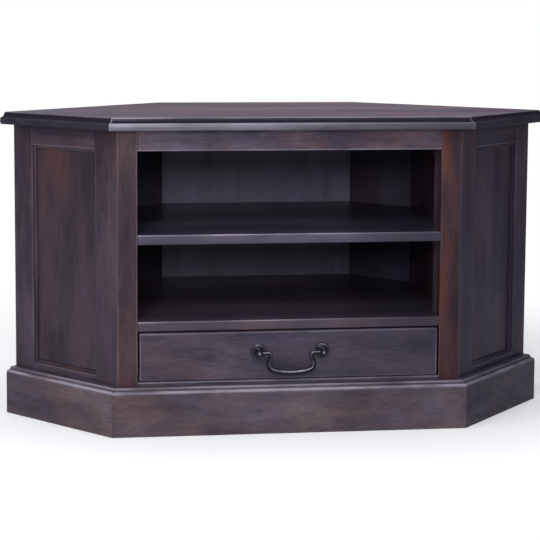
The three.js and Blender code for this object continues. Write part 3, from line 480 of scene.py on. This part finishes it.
outer = face_line(OPENING + SIDE_INSET - GAP, POST_REAR, math.pi / 2)
wing_back = set_in(BODY_WING, FRAME + GAP)
slant = [meet(face_line(0, POST_ROW, 0), wing_back), meet(outer, wing_back)]
outline, rub_and_highlight = eased(
    [(OPENING, POST_ROW), *slant, outer[0], (OPENING, POST_REAR)],
    [0.3 * MM, 0, 0, 0, 1.4 * MM],
)
rings = upright(outline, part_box("opening_post_left")[0].z)
add_pair("opening_post", rings, rub_and_highlight * 0.4, (
    wood("post_wood_left", "z", 1.8, *REVEAL_TONES),
    wood("post_wood_right", "z", 2.9, *REVEAL_TONES),
))

rear_edge = WING_LONG - WING_REAR_STILE
mitre_end = FRAME * MITRE + MITRE_GAP
for stem, stock, corners, radii, share, seeds in (
    (
        "wing_front_stile", "wing_stile_wood",
        [(MITRE_GAP, 0), (WING_FRONT_STILE, 0), (WING_FRONT_STILE, FRAME), (mitre_end, FRAME)],
        [0.9 * MM, 1.6 * MM, 0, 0], 0.3, (3.7, 4.9),
    ),
    (
        "wing_rear_stile", "rear_stile_wood",
        [(rear_edge, 0), (WING_LONG, 0), (WING_LONG, FRAME), (rear_edge, FRAME)],
        [1.6 * MM, 1.4 * MM, 0, 0], 0.35, (5.3, 6.2),
    ),
):
    outline, rub_and_highlight = eased(corners, radii)
    add_pair(stem, wing_place(upright(outline)), rub_and_highlight * share, (
        wood(stock + "_left", "upright_left", seeds[0], *WING_TONES, patch=1.4, run=2),
        wood(stock + "_right", "upright_right", seeds[1], *SHADED_TONES, shine=FAR_SHINE),
    ))


def rail_outline(low, high, ease_low, ease_high):
    """A rail's section, inward against up, with its two front corners rounded."""
    return eased([(0, low), (FRAME, low), (FRAME, high), (0, high)], [ease_low, 0, 0, ease_high])


for name, span, radii, seed, tones in (
    ("front_top_rail", (RAIL_LOW, BODY_TOP), (1.8 * MM, 0), 7.4, RAIL_TONES),
    ("front_bottom_rail", BOTTOM_RAIL, (0, 1.8 * MM), 8.6, DRAWER_TONES),
):
    outline, rub_and_highlight = rail_outline(*span, *radii)
    rings = carried(outline, (0, BODY_ROW, 0), Y, Z, X, (-LIP, LIP))
    made = surface(name + "_eased", rings, rub_and_highlight)
    material = wood(name + "_wood", "x", seed, *tones, haze=0.25, patch=2.6, run=3.2, crisp=0.4)
    place(made, "carcass", material, name)
for stem, span, radii, seed in (
    ("wing_top_rail", (RAIL_LOW, BODY_TOP), (1.6 * MM, 0), 9.5),
    ("wing_bottom_rail", (WING_RAIL_LOW, WING_RAIL_TOP), (0, 1.6 * MM), 10.8),
):
    outline, rub_and_highlight = rail_outline(*span, *radii)
    rings = wing_place(carried(outline, (0, 0, 0), Y, Z, X, WING_SPAN))
    add_pair(stem, rings, rub_and_highlight * 0.3, (
        wood(stem + "_wood_left", "wing_left", seed, *FRAME_TONES),
        wood(stem + "_wood_right", "wing_right", seed + 1.7, *SHADED_TONES, shine=FAR_SHINE),
    ))


def bead_rings():
    """Four mitred lengths of quarter round: each point of the section, at a width in and a height
    up, goes round the recess as a rectangle drawn in by its width."""
    turns = np.linspace(0, math.pi / 2, 10)
    crown = np.stack([BEAD_WIDE * np.cos(turns), BEAD_HIGH * np.sin(turns)], -1)
    section = np.vstack([[0, 0], crown])
    width, rise = section[:, 0], PANEL_SET_BACK - GAP - section[:, 1]
    x0, x1 = WING_SPAN[0] + width, WING_SPAN[1] - width
    z0, z1 = WING_RAIL_TOP + GAP + width, RAIL_LOW - GAP - width
    corners = [(x0, z0), (x1, z0), (x1, z1), (x0, z1)]
    return wing_place(np.stack([np.stack([x, rise, z], -1) for x, z in corners], 1))


rings = bead_rings()
rub_and_highlight = np.zeros(rings.shape[:2])
rub_and_highlight[4:8] = 0.1
add_pair("panel_bead", rings, rub_and_highlight, (
    wood("bead_wood_left", "upright_left", 12.1, *PANEL_TONES),
    wood("bead_wood_right", "upright_right", 13.3, *BEAD_SHADED_TONES, shine=0.03),
), loop=True)


# Top board
def level_outline(front, wall, ease, steps=4):
    """The cabinet's six-sided plan drawn in by front along its moulded sides and by wall along the
    others. Each corner is an arc of the ease's radius about the crossing of its two lines."""
    lines = [(TOP_FRONT, front), (TOP_WING, front), (WALL_LINE, wall), (BACK_LINE, wall)]
    right = []
    for (first, a), (second, b) in zip(lines, lines[1:]):
        centre = meet(set_in(first, a + ease), set_in(second, b + ease))
        start, end = -first[2], -second[2]
        turns = np.linspace(0, math.acos(float(start @ end)), steps + 1)
        right.append(centre + ease * swung(start, turns))
    right = np.vstack(right)
    return np.vstack([right, right[::-1] * [-1, 1]])


def top_rings():
    """The moulded edge as rings: at each height of the profile, the plan drawn in by its depth.
    The profile is a nose and a hollow, each a parabola over its chord, a flat and a quarter
    circle. The sides at the walls are eased below and above over a millimetre of height."""
    arris, arris_front, wall_ease, corner_ease = 1.4 * MM, 9.8 * MM, 0.8 * MM, 1.0 * MM
    nose = bowed((1.8 * MM, 0), (1.8 * MM, 11 * MM), 1.8 * MM, 12)
    hollow = bowed((2.7 * MM, 11 * MM), (8.9 * MM, 16.2 * MM), -1.5 * MM, 12)
    turns = np.linspace(0, math.pi / 2, 6)
    depths, heights = arris_front + arris * (1 - np.cos(turns)), TOP_THICK - arris * (1 - np.sin(turns))
    profile = np.vstack([
        [[5 * MM, 0]], nose, hollow, [[arris_front, 16.2 * MM]],
        np.stack([depths, heights], -1), [[15 * MM, TOP_THICK]],
    ])
    # Shares of rubbing and painted highlight along the profile: most on the nose's upper part and the upper
    # arris, where light catches them
    rub_and_highlight = np.concatenate([
        [0], graded(13, [0, 0.15, 0.4, 0.75, 0.85, 1], [0.3, 0.5, 0.6, 0.62, 1, 1]),
        graded(13, [0, 0.1, 0.8, 1], [0.2, 0, 0, 0.2]), [0.1],
        graded(6, [0, 0.3, 1], [0.2, 1, 0.8]), [0],
    ])
    rings = []
    for depth, high in profile:
        wall = wall_ease * (max(0, 1 - high / MM) + max(0, 1 - (TOP_THICK - high) / MM))
        rings.append(at_height(level_outline(depth, wall, corner_ease), HEIGHT - TOP_THICK + high))
    return np.array(rings), rub_and_highlight[:, None]


def top_rub_and_highlight(paint, spot):
    """Rubbing and painted highlight on the moulded edge: the front's share falls to the right, where
    less light reaches, and stays off the back, the wings keep little of it as they catch little light,
    and the mitres of the front have a painted highlight line."""
    fade_from, fade_to, wing_share = -0.15, 0.25, 0.08
    x, y, _ = paint.split(spot)
    behind = y + DEPTH / 2
    past = paint.size(x) + behind * MITRE - FRONT_HALF
    front = paint.rise(x, fade_from, fade_to, 1.0, 0.3) * paint.rise(past, -0.2 * MM, 0.2 * MM, 1.0, 0.0)
    front = front * paint.rise(behind, 30 * MM, 40 * MM, 1.0, 0.0)
    mitre = paint.rise(past, -2.2 * MM, -1.2 * MM) * paint.rise(past, -0.3 * MM, 0.1 * MM, 0.7, 0.0)
    mitre = mitre * paint.rise(behind, 9 * MM, 11 * MM, 1.0, 0.0)
    mitre = mitre * paint.rise(x, fade_from, fade_to, 1.0, 0.5)
    return paint.more(paint.rub_and_highlight() * paint.more(front, wing_share), mitre)


def top_stain_and_shade(paint, spot):
    """Dark stain fills the moulding below the upper arris, deepened as painted shade, and the board's
    left part is painted darker, as less sheen shows there.
    """
    x, _, z = paint.split(spot)
    filled = paint.rise(z, HEIGHT - 1.3 * MM, HEIGHT - 0.4 * MM, 1.0, 0.0)
    return paint.more(filled, paint.rise(x, -0.35, 0.1, 0.22, 0.0))


rings, rub_and_highlight = top_rings()
made = surface("top_board_moulded", rings, rub_and_highlight, sharp=32)
material = wood("top_wood", "x", 14.6, *TOP_SHEEN_TONES, gloss=0.56, haze=0.07, shine=0.03, run=0.45,
                crisp=1, edge=top_rub_and_highlight, stain_and_shade=top_stain_and_shade)
place(made, "carcass", material, "top_board")


# Plinth
def plinth_profile():
    """The plinth's section, depth against height: a face, a rounded nose, a flat, a hollow and a
    ledge. The nose and the hollow are parabolas over their chords."""
    face = [[0, 0], [0, 62 * MM]]
    nose = bowed((0, 64.6 * MM), (4.2 * MM, 68.6 * MM), 1.1 * MM, 8)
    hollow = bowed((5.1 * MM, 68.6 * MM), (8.5 * MM, 71.4 * MM), -0.9 * MM, 8)
    ledge = [[depth, PLINTH_HIGH] for depth in (9.9 * MM, 12 * MM, PLINTH_THICK)]
    profile = np.vstack([face, nose, hollow, ledge, [[PLINTH_THICK, 0]]])
    # Shares of rubbing and painted highlight along the section: most on the nose, where light catches it
    rub_and_highlight = np.concatenate([
        [0, 0], graded(9, [0, 0.3, 0.6, 1], [0.1, 0.8, 1, 1]),
        graded(9, [0, 0.2, 0.8, 1], [0.2, 0, 0.1, 0.6]), [0.5, 0, 0, 0],
    ])
    return profile, rub_and_highlight


PLINTH_FRONT = set_in(BODY_FRONT, -GAP - PLINTH_THICK)
PLINTH_WING = set_in(BODY_WING, -GAP - PLINTH_THICK)
PLINTH_CORNER = meet(PLINTH_FRONT, PLINTH_WING)
PLINTH_LONG = float(np.linalg.norm(meet(PLINTH_WING, WALL_LINE) - PLINTH_CORNER))
PLINTH_WOOD = {"gloss": 0.36, "knots": 0.9, "patch": 1.8, "run": 3.2, "crisp": 0.3}
profile, rub_and_highlight = plinth_profile()
depths, heights = profile.T
reach = PLINTH_CORNER[0] - depths * MITRE - MITRE_GAP
rings = [np.column_stack([sign * reach, PLINTH_CORNER[1] + depths, heights]) for sign in (-1, 1)]
made = surface("plinth_front_moulded", rings, rub_and_highlight)
material = wood("plinth_wood_front", "x", 16.2, *PLINTH_TONES, haze=0.05, **PLINTH_WOOD)
place(made, "carcass", material, "plinth_front")
ends = (depths * MITRE + MITRE_GAP, np.full(len(depths), PLINTH_LONG))
rings = wing_place([np.column_stack([end, depths, heights]) for end in ends])
rings += np.array([*(PLINTH_CORNER - CORNER), 0])
for side, shape, seed, shine, tones in (
    ("right", rings, 19.1, FAR_SHINE, PLINTH_SHADED_TONES),
    ("left", mirrored(rings), 17.9, NEAR_SHINE, PLINTH_TONES),
):
    made = surface(f"plinth_{side}_moulded", shape, rub_and_highlight)
    material = wood(f"plinth_wood_{side}", "wing_" + side, seed, *tones, haze=0.06, shine=shine,
                    **PLINTH_WOOD)
    place(made, "carcass", material, f"plinth_{side}")


# Shelves
def shelf_rings(top):
    """A level board as rings: only its front lip between the stiles is drawn in at each height, by
    the quarter circles of its upper and lower arris."""
    lip_ease, lip_fade = 1.8 * MM, 2.5 * MM
    wall, back = (set_in(line, WALL - HOUSING + GAP) for line in (WALL_LINE, BACK_LINE))
    side = face_line(OPENING + SIDE_INSET + HOUSING - GAP, POST_REAR + GAP, math.pi / 2)
    rest = [side[0], meet(side, wall), meet(wall, back)]
    turns = np.linspace(0, math.pi / 2, 6)
    draw, high = lip_ease * (1 - np.sin(turns)), lip_ease * (1 - np.cos(turns))
    face = [lip_ease + lip_fade]
    draw = np.concatenate([face, draw, draw[::-1], face])
    high = np.concatenate([[0], high, SHELF_THICK - high[::-1], [SHELF_THICK]])
    # The lip's shares of rubbing and painted highlight, the painted highlight brightest along its upper
    # arris
    lip = graded(len(draw) - 2, [0, 0.3, 0.5, 0.58, 0.72, 0.9, 1], [0.12, 0.02, 0.02, 0.1, 1, 1, 0.3])
    rings = []
    for inset, level in zip(draw, high):
        right = np.array([(LIP, BODY_ROW + inset), (LIP, POST_REAR + GAP), *rest])
        plan = np.vstack([right, right[::-1] * [-1, 1]])
        rings.append(at_height(plan, top - SHELF_THICK + level))
    rings = np.array(rings)
    rub_and_highlight = np.zeros(rings.shape[:2])
    rub_and_highlight[1:-1, (0, -1)] = lip[:, None]
    return rings, rub_and_highlight


def shelf_painted_shade(paint, spot):
    """Painted shade: the shelves darken near the right end, where less light reaches."""
    return paint.rise(paint.split(spot)[0], 0.06, 0.19, 0.0, 0.6)


def shelf_rub_and_highlight(paint, spot):
    """The arris's rubbing and painted highlight fade near the right end, where less light reaches."""
    return paint.rub_and_highlight() * paint.rise(paint.split(spot)[0], -0.05, 0.15, 1.0, 0.2)


for name, top, seed, tones in (
    ("middle_shelf", MIDDLE_SHELF_TOP, 21.4, SHELF_TONES),
    ("lower_shelf", LOWER_SHELF_TOP, 22.8, LOW_SHELF_TONES),
):
    made = surface(name + "_eased", *shelf_rings(top))
    material = wood(name + "_wood", "x", seed, *tones, gloss=0.34, haze=0.02, patch=2.2, run=2,
                    edge=shelf_rub_and_highlight, stain_and_shade=shelf_painted_shade)
    place(made, "carcass", material, name)


# Drawer pull
PIVOT = np.array([0, BODY_ROW - PIVOT_OUT, PIVOT_HIGH])
BRONZE = bronze("dark_bronze_metal")


def turned(name, profile, centre, rub_and_highlight, count=72):
    """A turned piece: each point of the profile, radius against distance out, goes round the axis
    that runs out of the drawer's face, as radius times the cosine and the sine of the turn. The
    painted highlight is up to six times as strong in a narrow band at the top, where the light
    from above strikes."""
    turns = np.linspace(0, 2 * math.pi, count, endpoint=False)
    radius, out = profile[:, :1], profile[:, 1:]
    x = centre[0] + radius * np.cos(turns)
    z = centre[2] + radius * np.sin(turns)
    y = centre[1] - np.broadcast_to(out, x.shape)
    band = np.clip(np.sin(turns + 0.1), 0, 1) ** 12
    rub_and_highlight = np.clip(rub_and_highlight[:, None] * (1 + 5 * band), 0, 1)
    return surface(name, np.stack([x, y, z], -1), rub_and_highlight, sharp=50)


def post_profile():
    """A rose with a raised rim, a dished face, a neck and a ball, radius against distance out. The
    rim and the dish are parabolas over their chords, and the ball is an arc that starts where its
    radius is the neck's. The rim's crest and the ball's tip carry painted highlights."""
    ball, neck = 6.2 * MM, 4.5 * MM
    rim = bowed((12.1 * MM, GAP), (9.6 * MM, 3.0 * MM), -1.1 * MM, 8)
    dish = bowed((9.6 * MM, 3.0 * MM), (5.0 * MM, 5.6 * MM), 1.2 * MM, 12)
    stem = [[4.6 * MM, 6.6 * MM], [neck, 7.8 * MM]]
    turns = np.linspace(math.asin(neck / ball), math.pi - 0.06, 20)
    head = np.stack([ball * np.sin(turns), PIVOT_OUT - ball * np.cos(turns)], -1)
    rub_and_highlight = np.concatenate([
        [0], graded(9, [0, 0.6, 0.8, 1], [0, 0.01, 0.08, 0.03]),
        graded(12, [0, 0.3, 0.8, 1], [0.02, 0, 0.01, 0.05]), [0, 0],
        graded(20, [0, 0.88, 0.95, 1], [0, 0.01, 0.2, 0.5]),
    ])
    return np.vstack([[[3 * MM, GAP]], rim, dish[1:], stem, head]), rub_and_highlight


for side, sign in (("left", -1), ("right", 1)):
    centre = (sign * POST_HALF_SPACING, BODY_ROW, PIVOT_HIGH)
    profile, rub_and_highlight = post_profile()
    made = turned(f"handle_post_{side}_turned", profile, centre, rub_and_highlight)
    place(made, "drawer", BRONZE, f"handle_post_{side}")


def between(s, low, high, start, end):
    """The point at s on the line that passes start at the knot low and end at the knot high."""
    return (high - s) / (high - low) * start + (s - low) / (high - low) * end


def through(points, count):
    """A smooth curve through points: the centripetal Catmull-Rom spline, whose knots are the
    square roots of the steps between points, taken at evenly spaced lengths."""
    points = np.vstack([2 * points[0] - points[1], points, 2 * points[-1] - points[-2]])
    curve = []
    for n in range(len(points) - 3):
        p = points[n:n + 4]
        t = np.concatenate([[0], np.cumsum(np.sqrt(np.linalg.norm(np.diff(p, axis=0), axis=1)))])
        s = np.linspace(t[1], t[2], 40, endpoint=n == len(points) - 4)[:, None]
        a = [between(s, t[k], t[k + 1], p[k], p[k + 1]) for k in range(3)]
        b = [between(s, t[k], t[k + 2], a[k], a[k + 1]) for k in range(2)]
        curve.append(between(s, t[1], t[2], b[0], b[1]))
    curve = np.vstack(curve)
    run = np.concatenate([[0], np.cumsum(np.linalg.norm(np.diff(curve, axis=0), axis=1))])
    at = np.linspace(0, run[-1], count)
    return np.stack([np.interp(at, run, curve[:, k]) for k in range(3)], -1)


def bail_rings():
    """A round bar round a curve: each ring is the path's point plus the radius times the square of
    the path's cosine and the room's sine. The radius rises from the pin's to the leg's and on to
    the bar's. A painted highlight runs along a line on the bar's upper front, most in its middle."""
    shares = [
        (1.06, 0), (0.955, 0.012), (0.9, 0.1), (0.915, 0.26), (0.985, 0.42),
        (1, 0.57), (0.955, 0.74), (0.82, 0.86), (0.6, 0.93), (0.3, 0.98), (0, 1),
    ]
    half = [(-PIN_END, 0, 0)] + [(-out * BAIL_HALF_WIDTH, 0, -down * BAIL_DROP) for out, down in shares]
    path = through(np.array(half + [(-x, y, z) for x, y, z in half[-2::-1]]), 180)
    heading = np.gradient(path, axis=0)
    heading /= np.linalg.norm(heading, axis=1)[:, None]
    across = np.stack([-heading[:, 2], np.zeros(len(path)), heading[:, 0]], -1)
    share = np.linspace(0, 1, len(path))
    share = np.minimum(share, 1 - share)

    def ease(low, high):
        t = np.clip((share - low) / (high - low), 0, 1)
        return t * t * (3 - 2 * t)

    radius = (2.3 + 0.8 * ease(0.05, 0.1) + ease(0.18, 0.36)) * MM
    turns = np.linspace(0, 2 * math.pi, 28, endpoint=False)
    ring = across[:, None] * np.cos(turns)[:, None] + np.array(Y) * np.sin(turns)[:, None]
    # A narrow line on the bar's upper front, where the highlight is painted
    crown = np.clip(np.cos(turns + math.radians(58)), 0, 1) ** 36
    highlight_share = np.interp(share, [0, 0.07, 0.12, 0.22, 0.3, 0.5], [0.6, 0.5, 0.1, 0.15, 0.4, 0.75])
    return PIVOT + path[:, None] + ring * radius[:, None, None], crown * highlight_share[:, None]


rings, rub_and_highlight = bail_rings()
made = surface("handle_bail_swept", rings, rub_and_highlight, sharp=60)
place(made, "bail", BRONZE, "handle_bail")


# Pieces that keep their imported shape
def drawer_rub_and_highlight(paint, spot):
    """Rubbing and painted highlight where the place lies near the outline of the drawer front."""
    low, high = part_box("drawer_front")
    half = (high.z - low.z) / 2
    x, _, z = paint.split(spot)
    x, z = paint.size(x), paint.size(z - (low.z + high.z) / 2)
    side = paint.rise(x, high.x - 3.6 * MM, high.x - 1 * MM)
    edge = paint.rise(z, half - 3.2 * MM, half - 1 * MM)
    return paint.more(side, edge)


def drawer_painted_shade(paint, spot):
    """Painted shade: the drawer front darkens to the right, where less light reaches."""
    return paint.rise(paint.split(spot)[0], -0.12, 0.2, 0.0, 0.34)


def wall_painted_shade(paint, spot):
    """Painted shade: the walls' inner faces are darker below the middle shelf, where its shadow falls.
    A place is inside where it lies before the middle of the short back's thickness and of the
    slanting wall's."""
    back_middle, wall_middle, shelf = (0.206, 0.209), (0.377, 0.381), (0.285, 0.3)
    x, y, z = paint.split(spot)
    inside = paint.rise(y, *back_middle, 1.0, 0.0)
    inside = inside * paint.rise(paint.size(x) + y, *wall_middle, 1.0, 0.0)
    return inside * paint.rise(z, *shelf, 0.45, 0.0)


def dress(node, material):
    """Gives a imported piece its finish."""
    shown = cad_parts[node]
    if not shown.material_slots:
        shown.data.materials.append(material)
    for slot in shown.material_slots:
        slot.material = material


dress("drawer_front", wood("drawer_front_wood", "x", 24.1, *DRAWER_TONES, gloss=0.33, haze=0.15, patch=1.8,
                           run=3.2, crisp=0.4, edge=drawer_rub_and_highlight, stain_and_shade=drawer_painted_shade))
for side, seed, tones, shine, cool in (
    ("left", 25.2, PANEL_TONES, NEAR_SHINE, 0.09),
    ("right", 26.9, SHADED_TONES, FAR_SHINE, 0.05),
):
    dress(f"wing_panel_{side}", wood(f"panel_wood_{side}", "upright_" + side, seed, *tones, gloss=0.27,
                                     shine=shine, patch=1.3, run=2, cool=cool))
    dress(f"back_wall_{side}", wood(f"wall_wood_{side}", "z", seed + 2, *INNER_TONES, shine=0.05,
                                    stain_and_shade=wall_painted_shade))
    dress(f"compartment_side_{side}", wood(f"side_wood_{side}", "z", seed + 3, *SIDE_TONES))
    for stem, stock, grain, step, tones, gloss in (
        ("top_cleat", "top_cleat_wood", "wing_" + side, 5, HIDDEN_TONES, 0.6),
        ("drawer_runner", "drawer_runner_wood", "y", 6, HIDDEN_TONES, 0.6),
        ("drawer_guide", "drawer_guide_wood", "y", 6, HIDDEN_TONES, 0.6),
        ("drawer_stop", "stop_wood", "x", 7, HIDDEN_TONES, 0.6),
        ("corner_tongue", "tongue_wood", "z", 8, HIDDEN_TONES, 0.6),
        ("drawer_side", "drawer_side_wood", "y", 9, LINING_TONES, 0.5),
    ):
        dress(f"{stem}_{side}", wood(f"{stock}_{side}", grain, seed + step, *tones, gloss=gloss))
    dress(f"handle_bolt_{side}", BRONZE)
dress("back_wall_centre", wood("wall_wood_centre", "z", 31.5, *BACK_TONES, haze=0.15, stain_and_shade=wall_painted_shade))
for node, name, seed, tones, gloss in (
    ("base_board", "base_wood", 32.4, HIDDEN_TONES, 0.6),
    ("top_cleat_front", "top_cleat_wood", 33.8, HIDDEN_TONES, 0.6),
    ("base_cleat_front", "base_cleat_wood", 34.7, HIDDEN_TONES, 0.6),
    ("drawer_back", "drawer_back_wood", 35.2, LINING_TONES, 0.5),
    ("drawer_bottom", "drawer_bottom_wood", 36.6, LINING_TONES, 0.5),
):
    dress(node, wood(name, "x", seed, *tones, gloss=gloss))


# Floor
FLOOR_HALF, FLOOR_DROP = 9, 0.5 * MM


def floor_paint():
    """A matt white floor that keeps the soft shadow near the cabinet and turns to plain white with
    distance. Polish sees it greyer at the sides of the studio."""
    paint = Paint("floor_white")
    spot = paint.spot()
    away = paint.vector("LENGTH", spot, output=1)
    aside = paint.size(paint.split(spot)[0])
    share = paint.rise(away, 0.45, 1.1) * paint.seen(paint.rise(aside, 0.6, 1.8, 1.0, 0.2))
    plain = paint.node("BsdfDiffuse", None, {"Color": (0.94, 0.94, 0.94, 1)})
    white = paint.node("Emission", None, {"Color": (1, 1, 1, 1), "Strength": 1.0})
    return paint.out(paint.node("MixShader", None, {0: share, 1: plain, 2: white}))


corners = [(x * FLOOR_HALF, y * FLOOR_HALF, -FLOOR_DROP) for x, y in ((-1, -1), (1, -1), (1, 1), (-1, 1))]
mesh = bpy.data.meshes.new("floor")
mesh.from_pydata(corners, [], [(0, 1, 2, 3)])
mesh.materials.append(floor_paint())
floor = bpy.data.objects.new("floor", mesh)
bpy.context.scene.collection.objects.link(floor)


# Light
def lamp(name, stand, target, size, power, in_polish):
    """A soft rectangular lamp that looks at its target. in_polish says whether polish shows it."""
    light = bpy.data.lights.new(name, "AREA")
    light.shape, light.energy, light.color = "RECTANGLE", power, (0.96, 0.97, 1.0)
    light.size, light.size_y = size
    made = bpy.data.objects.new(name, light)
    made.location = stand
    made.rotation_euler = (Vector(target) - Vector(stand)).to_track_quat("-Z", "Y").to_euler()
    made.visible_glossy = in_polish
    bpy.context.scene.collection.objects.link(made)


def sky():
    """White where the camera sees it, a soft pale grey for everything that it lights. Polish sees
    it greyer at the sides of the studio and in front."""
    paint = Paint("studio", bpy.data.worlds)
    x, y, _ = paint.split(paint.spot("Generated"))
    sides = paint.math("MINIMUM", paint.rise(x, 0.0, 0.45, 1.0, 0.15), paint.rise(x, -0.9, -0.4, 0.2, 1.0))
    seen = paint.seen(sides * paint.rise(y, -0.3, 0.3, 0.45, 1.0))
    light = paint.node("Background", None, {"Color": (0.93, 0.95, 1.0, 1), "Strength": 0.24})
    white = paint.node("Background", None, {"Color": (1, 1, 1, 1), "Strength": 1.0})
    return paint.out(paint.node("MixShader", None, {0: seen, 1: light, 2: white}), "OutputWorld")


for name, stand, target, size, power, in_polish in (
    ("front", (-0.5, -3.7, 1.2), (0, 0, 0.25), (1.6, 0.5), 72, True),
    ("high", (-0.7, -2.7, 2.4), (0, 0, 0.25), (1.0, 0.6), 38, True),
    ("spark", (-0.9, -2.4, 1.7), (0, -0.2, 0.15), (0.2, 0.12), 5, True),
    ("left", (-3.0, -1.7, 1.6), (0, 0, 0.25), (2.2, 2.2), 42, False),
    ("overhead", (0.0, -0.1, 2.8), (0, 0, 0.3), (2.2, 2.2), 42, False),
):
    lamp(name, stand, target, size, power, in_polish)
bpy.context.scene.world = sky()

# Camera
CAMERA_PLACE = (-0.3429, -2.3155, 0.6165)
CAMERA_TURNS = (("Z", -6.4356), ("X", 84.9), ("Z", 0.1957))
lens = bpy.data.cameras.new("camera")
lens.sensor_width, lens.lens = 36, 95.776
lens.shift_x, lens.shift_y = 0.0856, -0.2163
camera = bpy.data.objects.new("camera", lens)
pose = Matrix.Translation(CAMERA_PLACE)
for axis, degrees in CAMERA_TURNS:
    pose = pose @ Matrix.Rotation(math.radians(degrees), 4, axis)
camera.matrix_world = pose
bpy.context.scene.collection.objects.link(camera)
bpy.context.scene.camera = camera
bpy.context.scene.view_settings.view_transform = "Standard"
